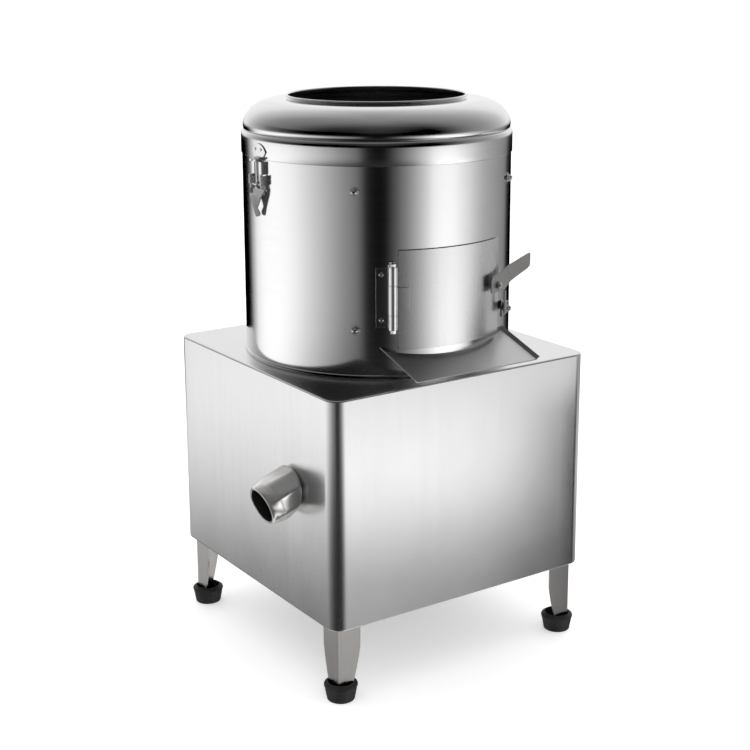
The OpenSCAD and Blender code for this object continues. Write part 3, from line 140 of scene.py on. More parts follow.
class Material(NodeTree):
    """A material under construction."""

    def __init__(self, name):
        self.material = bpy.data.materials.new(name)
        self.material.use_nodes = True
        super().__init__(self.material.node_tree)
        self.out = self.add("ShaderNodeOutputMaterial")

    def place(self):
        return self.add("ShaderNodeTexCoord").outputs["Object"]

    def round_place(self, radius):
        """Object coordinates unrolled from a drum: along its wall, across it, and up."""
        x, y, z = self.add("ShaderNodeSeparateXYZ", links={0: self.place()}).outputs
        along = self.math("MULTIPLY", self.math("ARCTAN2", y, x), radius)
        squares = [self.math("MULTIPLY", value, value) for value in (x, y)]
        across = self.math("SQRT", self.math("ADD", *squares))
        return self.add("ShaderNodeCombineXYZ", links={0: along, 1: across, 2: z}).outputs[0]

    def noise(self, vector, scale, stretch=(1, 1, 1), detail=4.0, rough=0.55):
        mapped = self.add("ShaderNodeMapping", {"Scale": stretch}, {"Vector": vector})
        return self.add(
            "ShaderNodeTexNoise",
            {"Scale": scale, "Detail": detail, "Roughness": rough},
            {"Vector": mapped.outputs[0]},
        ).outputs["Fac"]

    def span(self, source, low, high, to_low, to_high):
        node = self.add(
            "ShaderNodeMapRange",
            {"From Min": low, "From Max": high, "To Min": to_low, "To Max": to_high},
            {"Value": source},
        )
        return node.outputs[0]

    def ramp(self, source, stops):
        node = self.add("ShaderNodeValToRGB", links={"Fac": source})
        elements = node.color_ramp.elements
        while len(elements) < len(stops):
            elements.new(0.5)
        for element, (position, colour) in zip(elements, stops):
            element.position = position
            element.color = (*colour, 1.0)
        return node.outputs["Color"]

    def relief(self, height, strength, depth, edge):
        """Fine bumps on a surface whose edges catch light as if rounded."""
        rounded = self.add("ShaderNodeBevel", {"Radius": edge}, samples=BEVEL_SAMPLES)
        bump = self.add(
            "ShaderNodeBump",
            {"Strength": strength, "Distance": depth},
            {"Height": height, "Normal": rounded.outputs[0]},
        )
        return bump.outputs[0]

    def surface(self, values, colour, roughness, normal):
        links = {"Base Color": colour, "Roughness": roughness, "Normal": normal}
        principled = self.add("ShaderNodeBsdfPrincipled", values, links)
        return self.finished(principled)

    def finished(self, last):
        self.tree.links.new(last.outputs[0], self.out.inputs["Surface"])
        return self.material


def grey(value, tint=0.0):
    """A grey, warmer with more tint."""
    return (value * (1 + tint), value, value * (1 - tint))


def scaled(colour, factor):
    """A colour made darker or lighter, up to white."""
    return tuple(min(1.0, c * factor) for c in colour)


# ---- Materials ----

BEVEL_SAMPLES = 4
# Noise stays mostly between these two values
NOISE_LOW, NOISE_HIGH = 0.3, 0.7
GRAIN_ROUND = "round"
GRAIN_STRETCH = {"x": (0.02, 1, 1), "y": (1, 0.02, 1), "z": (1, 1, 0.02), GRAIN_ROUND: (0.02, 1, 1)}
# Streaks between the fine grain: their scale against it, and the fine grain's share of both
STREAK_SCALE = 0.12
FINE_SHARE = 0.6


def steel(name, tone, rough, grain="x", grain_scale=900.0, grain_depth=0.05, smudge=0.05,
          edge=0.0006, warm=0.0, uneven=0.18, metallic=1.0):
    """Stainless sheet: fine brushed grain, cloudy handling marks, edges that catch light."""
    steel_nodes = Material(name)
    place = steel_nodes.round_place(DRUM_R) if grain == GRAIN_ROUND else steel_nodes.place()
    stretch = GRAIN_STRETCH[grain]
    fine = steel_nodes.noise(place, grain_scale, stretch, detail=3.0)
    streak = steel_nodes.noise(place, grain_scale * STREAK_SCALE, stretch, detail=2.0)
    cloud = steel_nodes.noise(steel_nodes.place(), scale=9.0, detail=5.0, rough=0.6)
    marks = steel_nodes.weighted(fine, FINE_SHARE, streak, 1 - FINE_SHARE)
    tones = [(NOISE_LOW, grey(tone * 0.94, warm)), (NOISE_HIGH, grey(tone * 1.04, warm))]
    colour = steel_nodes.ramp(steel_nodes.weighted(marks, 0.5, cloud, 0.5), tones)
    grained = steel_nodes.span(marks, NOISE_LOW, NOISE_HIGH, rough * (1 - uneven), rough * (1 + uneven))
    roughness = steel_nodes.math("ADD", grained, steel_nodes.span(cloud, 0.4, 0.75, 0.0, smudge))
    normal = steel_nodes.relief(marks, grain_depth, 0.0002, edge)
    return steel_nodes.surface({"Metallic": metallic}, colour, roughness, normal)


def paint(name, colour, rough=0.45, chips=0.12, metallic=0.0):
    """Shop paint, a plain casting, or a near-black painted shade for a shadowed hollow: fine bumps and
    cloudy dirt.
    """
    coat = Material(name)
    place = coat.place()
    peel = coat.noise(place, scale=420.0, detail=2.0)
    dirt = coat.noise(place, scale=26.0, detail=6.0, rough=0.65)
    tint = coat.ramp(dirt, [(0.35, scaled(colour, 1 - chips)), (0.65, scaled(colour, 1 + chips))])
    normal = coat.relief(peel, strength=0.25, depth=0.0004, edge=0.001)
    roughness = coat.span(dirt, NOISE_LOW, NOISE_HIGH, rough * 0.85, rough * 1.2)
    return coat.surface({"Metallic": metallic}, tint, roughness, normal)


def rubber(name, tone=0.018, rough=0.55):
    """Black rubber: cloudy grey bloom and a fine mould texture."""
    skin = Material(name)
    place = skin.place()
    bloom = skin.noise(place, scale=40.0, detail=6.0, rough=0.7)
    texture = skin.noise(place, scale=900.0, detail=2.0)
    tint = skin.ramp(bloom, [(0.35, grey(tone * 0.7)), (0.7, grey(tone * 1.8))])
    normal = skin.relief(texture, strength=0.3, depth=0.0003, edge=0.0012)
    roughness = skin.span(bloom, NOISE_LOW, NOISE_HIGH, rough * 0.85, rough * 1.15)
    return skin.surface({"Specular IOR Level": 0.4}, tint, roughness, normal)


def grit(name, tone=0.03):
    """Bonded abrasive: dark grains standing in resin, with lighter and darker patches."""
    coat = Material(name)
    place = coat.place()
    grains = coat.add("ShaderNodeTexVoronoi", {"Scale": 650.0}, {"Vector": place}).outputs["Distance"]
    patches = coat.noise(place, scale=30.0, detail=5.0)
    tones = [(0.1, grey(tone * 0.5)), (0.45, grey(tone, 0.04)), (0.8, grey(tone * 2.6, 0.05))]
    tint = coat.ramp(coat.weighted(grains, 0.9, patches, 0.35), tones)
    bump = coat.add(
        "ShaderNodeBump", {"Strength": 0.9, "Distance": 0.0008}, {"Height": grains}, invert=True
    )
    roughness = coat.span(grains, 0.0, 0.6, 0.35, 0.8)
    return coat.surface({"Specular IOR Level": 0.5}, tint, roughness, bump.outputs[0])


def plastic(name, colour, rough=0.35, texture=0.15):
    """Moulded plastic: fine spark texture and slight sheen changes."""
    shell = Material(name)
    place = shell.place()
    spark = shell.noise(place, scale=1200.0, detail=2.0)
    wear = shell.noise(place, scale=35.0, detail=5.0)
    tint = shell.ramp(wear, [(NOISE_LOW, scaled(colour, 0.9)), (NOISE_HIGH, scaled(colour, 1.08))])
    normal = shell.relief(spark, texture, depth=0.0002, edge=0.0008)
    roughness = shell.span(wear, NOISE_LOW, NOISE_HIGH, rough * 0.8, rough * 1.2)
    return shell.surface({"Specular IOR Level": 0.5}, tint, roughness, normal)


# ---- Mesh helpers ----

SHARP_DEG = 32.0
WELD_DIST = 1e-6


def smooth_up_to(bm, sharp_deg):
    """Smooth shading, with every edge sharper than an angle kept crisp."""
    bm.normal_update()
    for face in bm.faces:
        face.smooth = True
    for edge in bm.edges:
        edge.smooth = len(edge.link_faces) == 2 and edge.calc_face_angle(0.0) < math.radians(sharp_deg)


def linked_object(name, bm):
    """An object in the scene, made of a bmesh that is freed."""
    mesh = bpy.data.meshes.new(name)
    bm.to_mesh(mesh)
    bm.free()
    made = bpy.data.objects.new(name, mesh)
    bpy.context.scene.collection.objects.link(made)
    return made


def link_mesh(name, bm, material, body, sharp_deg=SHARP_DEG, stands_for=()):
    """Turns a bmesh into a piece that rides on a body, with smooth shading up to an angle."""
    bmesh.ops.recalc_face_normals(bm, faces=bm.faces)
    smooth_up_to(bm, sharp_deg)
    piece = linked_object(name, bm)
    piece.data.materials.append(material)
    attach(piece, body)
    if stands_for:
        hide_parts(*stands_for)
    return piece


def bridge(bm, first, second, closed=True):
    """Quads between two rows of vertices of equal length."""
    count = len(first)
    for i in range(count if closed else count - 1):
        j = (i + 1) % count
        bm.faces.new((first[i], first[j], second[j], second[i]))


def rings_to_mesh(rings, loop=True):
    """A closed skin over rings of points; loop joins the last ring to the first."""
    bm = bmesh.new()
    rows = [[bm.verts.new(p) for p in ring] for ring in rings]
    for first, second in zip(rows, rows[1:]):
        bridge(bm, first, second)
    if loop:
        bridge(bm, rows[-1], rows[0])
    return bm


def lathe(profile, segments=192, centre=(0.0, 0.0)):
    """A closed outline of (radius, height) turned round a vertical axis."""
    rings = [
        [(centre[0] + r * math.cos(a), centre[1] + r * math.sin(a), z)
         for a in (2 * math.pi * i / segments for i in range(segments))]
        for r, z in profile
    ]
    return rings_to_mesh(rings)


def arc(cx, cz, rx, rz, start, end, count):
    """Points on a stretch of an ellipse, angles in degrees."""
    return [
        (cx + rx * math.cos(math.radians(a)), cz + rz * math.sin(math.radians(a)))
        for a in (start + (end - start) * i / count for i in range(count + 1))
    ]


def cut(piece, cutters):
    """Takes the cutters' shapes out of a piece and drops them."""
    for cutter in cutters:
        modifier = piece.modifiers.new("cut", "BOOLEAN")
        modifier.operation = "DIFFERENCE"
        modifier.solver = "EXACT"
        modifier.object = cutter
    graph = bpy.context.evaluated_depsgraph_get()
    made = bpy.data.meshes.new_from_object(piece.evaluated_get(graph))
    piece.modifiers.clear()
    piece.data = made
    for cutter in cutters:
        bpy.data.objects.remove(cutter)


def cutter_from(bm, matrix=None):
    bmesh.ops.recalc_face_normals(bm, faces=bm.faces)
    cutter = linked_object("cutter", bm)
    if matrix is not None:
        cutter.matrix_world = matrix
    return cutter


def soften(piece):
    """Smooth shading with sharp edges, after a cut."""
    bm = bmesh.new()
    bm.from_mesh(piece.data)
    smooth_up_to(bm, SHARP_DEG)
    bm.to_mesh(piece.data)
    bm.free()


# A sheet that spans more degrees than this closes on itself
FULL_TURN = 359.99


def curved_sheet(radius, thickness, angles, heights, keep):
    """Rolled sheet metal: cells of a grid in angle and height that keep(angle, height) accepts."""
    bm = bmesh.new()
    outer, inner = {}, {}
    inner_radius = radius - thickness
    full_turn = angles[-1] - angles[0] > FULL_TURN
    columns = len(angles) - 1 if full_turn else len(angles)
    for i, angle in enumerate(angles[:columns]):
        x, y = math.cos(math.radians(angle)), math.sin(math.radians(angle))
        for k, z in enumerate(heights):
            outer[i, k] = bm.verts.new((radius * x, radius * y, z))
            inner[i, k] = bm.verts.new((inner_radius * x, inner_radius * y, z))
    cells = [
        (i, k)
        for i in range(len(angles) - 1)
        for k in range(len(heights) - 1)
        if keep((angles[i] + angles[i + 1]) / 2, (heights[k] + heights[k + 1]) / 2)
    ]
    sides = {}
    for i, k in cells:
        j = (i + 1) % columns
        loop = [(i, k), (j, k), (j, k + 1), (i, k + 1)]
        bm.faces.new([outer[p] for p in loop])
        bm.faces.new([inner[p] for p in reversed(loop)])
        for a, b in zip(loop, loop[1:] + loop[:1]):
            sides[frozenset((a, b))] = sides.get(frozenset((a, b)), 0) + 1
    for edge, uses in sides.items():
        if uses == 1:
            a, b = sorted(edge)
            bm.faces.new((outer[a], outer[b], inner[b], inner[a]))
    bmesh.ops.delete(bm, geom=[v for v in bm.verts if not v.link_faces], context="VERTS")
    bmesh.ops.remove_doubles(bm, verts=bm.verts, dist=WELD_DIST)
    return bm


def steps(start, end, size):
    """From start to end in equal steps of at most a size."""
    count = max(1, math.ceil(abs(end - start) / size))
    return [start + (end - start) * i / count for i in range(count + 1)]


def right_angle(count):
    """Angles from 0 to a right angle in equal steps, in radians."""
    return [math.pi / 2 * i / count for i in range(count + 1)]


# ---- Cabinet ----

WALL_T = 0.0015
DECK_T = 0.002
WELD_W = 0.002
TOP_EDGE_R = 0.0026
TOP_EDGE_STEPS = 6
FOOT_EDGE_R = 0.003
FOOT_EDGE_STEPS = 5
SIDE_STEPS = 16
CORNER_STEPS = 14
MIN_CORNER_R = 0.0005
# Half width of the opening underneath, inside the bottom lip
UNDER_HALF = 0.2262
# The deck's flat part: in from the walls to a ring inside the drum's wall, then to the hole
DECK_INSET = 0.012
DECK_RING_R = 0.2115
DECK_HOLE_R = 0.2025


def rounded_outline(inset):
    """Points round the cabinet, the same count for every inset."""
    half = HALF_W - inset
    radius = max(MIN_CORNER_R, CORNER_R - inset)
    flat = half - radius
    points = []
    for quarter in range(4):
        turn = math.radians(90 * quarter)
        cos_t, sin_t = math.cos(turn), math.sin(turn)
        side = [(half, flat * (2 * i / SIDE_STEPS - 1)) for i in range(SIDE_STEPS)]
        corner = arc(flat, flat, radius, radius, 0, 90, CORNER_STEPS)[:-1]
        points += [(x * cos_t - y * sin_t, x * sin_t + y * cos_t) for x, y in side + corner]
    return points


def cabinet_skin(material):
    """Walls and top as one ground and polished welded skin with rolled edges."""
    def ring(inset, z):
        return [(x, y, z) for x, y in rounded_outline(inset)]

    def hole(radius, z):
        points = []
        for x, y in rounded_outline(0):
            reach = math.hypot(x, y)
            points.append((radius * x / reach, radius * y / reach, z))
        return points

    lip = HALF_W - UNDER_HALF
    rings = [ring(lip, CAB_Z0 + WALL_T), ring(lip, CAB_Z0)]
    rings += [ring(FOOT_EDGE_R * (1 - math.sin(a)), CAB_Z0 + FOOT_EDGE_R * (1 - math.cos(a)))
              for a in right_angle(FOOT_EDGE_STEPS)]
    rings += [ring(TOP_EDGE_R * (1 - math.cos(a)), DECK_Z - TOP_EDGE_R * (1 - math.sin(a)))
              for a in right_angle(TOP_EDGE_STEPS)]
    rings += [ring(DECK_INSET, DECK_Z), hole(DECK_RING_R, DECK_Z)]
    rings += [hole(DECK_HOLE_R, DECK_Z), hole(DECK_HOLE_R, DECK_Z - DECK_T)]
    rings += [ring(WALL_T + WELD_W, DECK_Z - DECK_T), ring(WALL_T, DECK_Z - (DECK_T + WELD_W))]
    rings += [ring(WALL_T, CAB_Z0 + FOOT_EDGE_R), ring(FOOT_EDGE_R, CAB_Z0 + WALL_T)]
    skin = link_mesh("cabinet_skin", rings_to_mesh(rings), material, "cabinet",
                     stands_for=("housing_shell", "housing_top"))
    cutters = vent_cutters() + [drain_cutter()]
    cutters += [wall_hole("cable_gland", 1, "X", GLAND_HOLE_R)]
    cutters += [wall_hole("switch_box", 0, "Y", WIRE_HOLE_R)]
    cut(skin, cutters)
    soften(skin)


def block(low, high):
    bm = bmesh.new()
    bmesh.ops.create_cube(bm, size=1.0)
    size = Vector(high) - Vector(low)
    centre = (Vector(high) + Vector(low)) / 2
    bmesh.ops.scale(bm, vec=size, verts=bm.verts)
    bmesh.ops.translate(bm, vec=centre, verts=bm.verts)
    return bm


def rod(radius, length, segments=48):
    bm = bmesh.new()
    bmesh.ops.create_cone(
        bm, cap_ends=True, segments=segments, radius1=radius, radius2=radius, depth=length
    )
    return bm


# How far a vent's cutter reaches in and out of the rear wall
VENT_CUT_IN, VENT_CUT_OUT = 0.006, 0.004
VENT_X, VENT_Z0 = 0.09, CAB_Z0 + 0.11
VENT_LEN, VENT_H, VENT_PITCH, VENT_COUNT = 0.09, 0.005, 0.012, 7
DRAIN_AT = Vector((-HALF_W, -0.125, DECK_Z - 0.1605))
DRAIN_TILT = math.radians(18.8)
DRAIN_MATRIX = Matrix.Translation(DRAIN_AT) @ Matrix.Rotation(-math.pi / 2 - DRAIN_TILT, 4, "Y")
DRAIN_HOLE_R, DRAIN_CUT_LEN = 0.0264, 0.04
GLAND_HOLE_R, WIRE_HOLE_R, HOLE_CUT_LEN = 0.01, 0.009, 0.01


def vent_cutters():
    cutters = []
    for side in (-1, 1):
        for k in range(VENT_COUNT):
            z = VENT_Z0 + k * VENT_PITCH
            low = (side * VENT_X - VENT_LEN / 2, HALF_W - VENT_CUT_IN, z)
            high = (side * VENT_X + VENT_LEN / 2, HALF_W + VENT_CUT_OUT, z + VENT_H)
            cutters.append(cutter_from(block(low, high)))
    return cutters


def drain_cutter():
    return cutter_from(rod(DRAIN_HOLE_R, DRAIN_CUT_LEN), DRAIN_MATRIX)


def wall_hole(node, wall_axis, turn_axis, radius):
    """A round cutter through the right wall (axis 0) or the rear one (axis 1), behind a piece."""
    middle = [(a + b) / 2 for a, b in zip(*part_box(node))]
    middle[wall_axis] = HALF_W
    turned = Matrix.Translation(Vector(middle)) @ Matrix.Rotation(math.pi / 2, 4, turn_axis)
    return cutter_from(rod(radius, HOLE_CUT_LEN), turned)


# ---- Drum ----

OPENING_A = (247.2, 290.2)
OPENING_Z = (DECK_Z + 0.052, DECK_Z + 0.19)
WALL_STEP = 1.8
BEAD_IN, BEAD_LIFT = 0.0003, 0.0002
BEAD_W, BEAD_H = 0.0023, 0.0062
RIM_ROLL_IN, RIM_ROLL_DOWN, RIM_ROLL_R = 0.0012, 0.0015, 0.0014


def drum_wall(material):
    start, end = (angle - 360 for angle in OPENING_A)
    angles = steps(start, end, WALL_STEP) + steps(end, OPENING_A[0], WALL_STEP)[1:]
    heights = [DECK_Z, *OPENING_Z, RIM_Z]

    def keep(angle, z):
        return not (start < angle < end and OPENING_Z[0] < z < OPENING_Z[1])

    link_mesh("drum_wall", curved_sheet(DRUM_R, DRUM_T, angles, heights, keep), material, "cabinet",
              stands_for=("drum_shell",))
    bead_r, bead_z = DRUM_R - BEAD_IN, DECK_Z + BEAD_LIFT
    bead = arc(bead_r, bead_z, BEAD_W, BEAD_H, 0, 90, 8) + [(bead_r, bead_z)]
    link_mesh("drum_foot_bead", lathe(bead), material, "cabinet")
    roll_r, roll_z = DRUM_R - DRUM_T - RIM_ROLL_IN, RIM_Z - RIM_ROLL_DOWN
    roll = arc(roll_r, roll_z, RIM_ROLL_R, RIM_ROLL_R, 0, 360, 16)[:-1]
    link_mesh("drum_rim_roll", lathe(roll), material, "cabinet")


# ---- Lid ----

LID_SEGMENTS = 240
SHEET_T = 0.0012
GROOVE_R = SKIRT_R - 0.005
GROOVE_Z = RIM_Z + 0.01
DOME_R = DRUM_R - 0.0015
DOME_WIDE_Z = GROOVE_Z + 0.0064
DOME_REACH = 0.06
DOME_RISE = 0.0394
ROLL_R = 0.002
ROLL_LIFT = 0.0013
COVE_R = 0.0025
SHOULDER_H = 0.009
LEDGE_Z = RIM_Z + 0.0053
LEDGE_OUT_R = SKIRT_R - 0.0017
LEDGE_IN_R = DRUM_R - 0.007


def lid_skirt(material):
    shoulder = GROOVE_Z - SHOULDER_H
    inset = SKIRT_R - GROOVE_R
    hem = SHEET_T / 2
    profile = [(SKIRT_R - SHEET_T, SKIRT_Z0 + hem)]
    profile += arc(SKIRT_R - hem, SKIRT_Z0 + hem, hem, hem, 180, 360, 8)
    profile += arc(GROOVE_R, shoulder, inset, SHOULDER_H, 0, 90, 18)
    profile += [(GROOVE_R - SHEET_T, GROOVE_Z)]
    profile += arc(GROOVE_R - SHEET_T, shoulder, inset, SHOULDER_H - SHEET_T, 80, 0, 12)
    band = lathe(profile, LID_SEGMENTS)
    link_mesh("lid_skirt_band", band, material, "lid", stands_for=("lid_skirt",))
    top = LEDGE_Z + SHEET_T
    ledge = [(LEDGE_OUT_R, LEDGE_Z), (LEDGE_OUT_R, top), (LEDGE_IN_R, top), (LEDGE_IN_R, LEDGE_Z)]
    link_mesh("lid_inner_ledge", lathe(ledge), material, "lid")


def lid_dome(material):
    """Rounded ring: undercut at the groove, wide dome, small hollow curve and a rolled wire."""
    swell = DOME_R - GROOVE_R
    rise = DOME_WIDE_Z - GROOVE_Z
    middle = DOME_R - DOME_REACH
    neck = MOUTH_R + ROLL_R
    cove_z = DOME_WIDE_Z + DOME_RISE + COVE_R
    inner_cove = COVE_R + SHEET_T
    profile = arc(GROOVE_R, DOME_WIDE_Z, swell, rise, -90, 0, 10)
    profile += arc(middle, DOME_WIDE_Z, DOME_REACH, DOME_RISE, 0, 90, 44)[1:]
    profile += arc(neck + COVE_R, cove_z, COVE_R, COVE_R, -90, -165, 10)
    profile += arc(neck, cove_z + ROLL_LIFT, ROLL_R, ROLL_R, -20, 235, 20)
    profile += arc(neck + COVE_R, cove_z, inner_cove, inner_cove, -178, -90, 8)
    profile += arc(middle, DOME_WIDE_Z, DOME_REACH - SHEET_T, DOME_RISE - SHEET_T, 90, 0, 30)
    profile += arc(GROOVE_R - SHEET_T, DOME_WIDE_Z, swell, rise, 0, -90, 8)[1:]
    dome = lathe(profile, LID_SEGMENTS)
    link_mesh("lid_dome_ring", dome, material, "lid", stands_for=("lid_dome",))


# ---- Toggle levers ----

LEVER_LEAN = 0.3
LEVER_BEND_DOWN = 0.0264


def leaning_lever(name, node, body, material):
    """The lever's own shape, leaning in below its cheeks until the tail lies near the drum."""
    low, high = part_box(node)
    bm = bmesh.new()
    bm.from_mesh(nodes[node].data)
    bend_z = high.z - LEVER_BEND_DOWN
    geometry = bm.verts[:] + bm.edges[:] + bm.faces[:]
    bmesh.ops.bisect_plane(bm, geom=geometry, plane_co=(0, 0, bend_z), plane_no=(0, 0, 1))
    out = Vector((low.x + high.x, low.y + high.y, 0)).normalized()
    for vert in bm.verts:
        vert.co -= out * LEVER_LEAN * max(0.0, bend_z - vert.co.z)
    link_mesh(name, bm, material, body, sharp_deg=25.0, stands_for=(node,))


# ---- Door ----

DOOR_A = (244.2, 295.5)
DOOR_Z = (DECK_Z + 0.046, DECK_Z + 0.196)
DOOR_OUT_R = DRUM_R + 0.0035
DOOR_T = 0.0015
DOOR_STEP = 1.5


def door_panel(material):
    angles = steps(*DOOR_A, DOOR_STEP)
    sheet = curved_sheet(DOOR_OUT_R, DOOR_T, angles, list(DOOR_Z), lambda a, z: True)
    link_mesh("door_sheet", sheet, material, "door", stands_for=("door_panel",))


# ---- Drain outlet ----

UNION_SEGMENTS = 192
OUTLET_LEN = 0.0569
GRIP_END = OUTLET_LEN - 0.018
NECK_R, NECK_Z = 0.026, -0.0139
NECK_WALL_R = 0.0262
NUT_FLAT_R = 0.034
NUT_CORNER_R = NUT_FLAT_R / math.cos(math.radians(22.5))
NUT_SOFTNESS, NUT_WALL_SOFTNESS = 26.0, 60.0
WALL_GAP = 0.0006
SOFT_EDGE = 0.0006
CHAMFER_R = NUT_CORNER_R - 0.006
CHAMFER_RUN, CHAMFER_STEPS = 0.016, 32
CHAMFER_BLEND = 30
# The end of the grip, where its flats begin to round off
GRIP_FADE, GRIP_DROP, GRIP_FLATS = 0.004, 0.0002, 0.92
MOUTH_OUT_R = 0.0287
MOUTH_STEPS = 16
# How eight-sided the taper starts, and over how many steps that fades
TAPER_FLATS, TAPER_FADE = 0.85, 6
BORE_R = 0.023
BORE_MARGIN = 0.0002
SOCKET_R = 0.0265
SOCKET_LEN = 0.022


def eight_sided(angle, softness=NUT_SOFTNESS):
    """Radius of an eight-sided section with rounded corners, for a flat-to-centre distance of 1."""
    total = sum(max(0.0, math.cos(angle - math.radians(45 * k))) ** softness for k in range(8))
    return total ** (-1.0 / softness)


def drain_outlet(material, bore_shade_material):
    """Cast union: round neck, eight-sided grip chamfered at the wall, rounded taper, machined mouth;
    inside the socket and bore a near-black painted shade.
    """
    angles = [2 * math.pi * i / UNION_SEGMENTS for i in range(UNION_SEGMENTS)]
    sin_t, cos_t = math.sin(DRAIN_TILT), math.cos(DRAIN_TILT)

    def ring(radius, z, flats=0.0):
        """Ring across the union's axis, from round at flats 0 to eight-sided at flats 1."""
        points = []
        for a in angles:
            reach = radius * (1 - flats) + radius * flats * eight_sided(a)
            points.append((reach * math.cos(a), reach * math.sin(a), z))
        return points

    def wall_ring(out, limit):
        """Ring parallel to the cabinet wall, out from it, inside a round limit about the wall's normal."""
        points = []
        for a in angles:
            grip = NUT_FLAT_R * eight_sided(a, NUT_WALL_SOFTNESS)
            drop = out * sin_t / cos_t
            square = math.sin(a) ** 2 + (math.cos(a) / cos_t) ** 2
            along = drop * math.cos(a) / cos_t
            reach = (along + math.sqrt(along * along - square * (drop * drop - limit * limit))) / square
            radius = (grip ** -CHAMFER_BLEND + reach ** -CHAMFER_BLEND) ** (-1 / CHAMFER_BLEND)
            x, y = radius * math.cos(a), radius * math.sin(a)
            points.append((x, y, (out - x * sin_t) / cos_t))
        return points

    rings = [ring(NECK_R, NECK_Z), wall_ring(WALL_GAP, NECK_WALL_R)]
    rings += [wall_ring(WALL_GAP, CHAMFER_R - SOFT_EDGE), wall_ring(WALL_GAP + SOFT_EDGE / 2, CHAMFER_R)]
    for i in range(CHAMFER_STEPS + 1):
        run = CHAMFER_RUN * i / CHAMFER_STEPS
        rings.append(wall_ring(WALL_GAP + SOFT_EDGE + run, CHAMFER_R + SOFT_EDGE + run))
    rings += [ring(NUT_FLAT_R, GRIP_END - GRIP_FADE, 1)]
    rings += [ring(NUT_FLAT_R - GRIP_DROP, GRIP_END - GRIP_FADE / 2, GRIP_FLATS)]
    for i, t in enumerate(right_angle(MOUTH_STEPS)):
        radius = MOUTH_OUT_R + (NUT_FLAT_R - SOFT_EDGE - MOUTH_OUT_R) * math.cos(t)
        z = GRIP_END + (OUTLET_LEN - GRIP_END) * math.sin(t)
        rings.append(ring(radius, z, max(0.0, TAPER_FLATS * (1 - i / TAPER_FADE))))
    rings += [ring(SOCKET_R + SOFT_EDGE, OUTLET_LEN), ring(SOCKET_R, OUTLET_LEN - SOFT_EDGE)]
    rings += [ring(SOCKET_R, OUTLET_LEN - SOCKET_LEN), ring(BORE_R, OUTLET_LEN - SOCKET_LEN)]
    rings += [ring(BORE_R, NECK_Z)]
    bm = rings_to_mesh(rings)
    bmesh.ops.transform(bm, matrix=DRAIN_MATRIX, verts=bm.verts)
    union = link_mesh("drain_union", bm, material, "cabinet", stands_for=("drain_outlet",))
    # The socket and bore faces take a near-black painted shade, standing in for the shadow inside the
    # union
    union.data.materials.append(bore_shade_material)
    to_axis = DRAIN_MATRIX.inverted()
    for face in union.data.polygons:
        if (to_axis @ face.center).to_2d().length < SOCKET_R + BORE_MARGIN:
            face.material_index = 1


# ---- Feet ----

FOOT_TOP = 0.029
FOOT_TAPER = 0.0046
SOLE_IN, SOLE_EDGE_R = 0.0022, 0.0018
# Where the flared side ends, in from the widest radius and down from the top
FLARE_IN, FLARE_DOWN = 0.0012, 0.0095
BULGE_W, BULGE_H, BULGE_DOWN = 0.0026, 0.003, 0.0055
# The rim above its bulge: how far in from the widest radius, and how far down from the top
FOOT_LIP = [(0.0042, 0.0024), (0.0052, 0.0004), (0.0066, 0.0)]
# The hollow for the leg; its floor starts at a tiny radius, so that no face has zero width
CUP_PIN_R, CUP_FLOOR_IN, CUP_FLOOR_Z = 0.0006, 0.0012, 0.0062
CUP_TOP_IN, CUP_TOP_DOWN = 0.001, 0.0012


def rubber_foot(name, node, material):
    low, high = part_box(node)
    centre = ((low.x + high.x) / 2, (low.y + high.y) / 2)
    rim = (high.x - low.x) / 2
    base = rim - FOOT_TAPER
    profile = [(CUP_PIN_R, 0.0), (base - SOLE_IN, 0.0)]
    profile += arc(base - SOLE_EDGE_R, SOLE_EDGE_R, SOLE_EDGE_R, SOLE_EDGE_R, 270, 350, 6)
    profile += [(rim - FLARE_IN, FOOT_TOP - FLARE_DOWN)]
    profile += arc(rim - BULGE_W, FOOT_TOP - BULGE_DOWN, BULGE_W, BULGE_H, -30, 90, 10)
    profile += [(rim - inset, FOOT_TOP - drop) for inset, drop in FOOT_LIP]
    profile += [(base - CUP_TOP_IN, FOOT_TOP - CUP_TOP_DOWN)]
    profile += [(base - CUP_FLOOR_IN, CUP_FLOOR_Z), (CUP_PIN_R, CUP_FLOOR_Z)]
    boot = lathe(profile, 96, centre)
    link_mesh(name, boot, material, "cabinet", stands_for=(node,))


# ---- Finishes ----


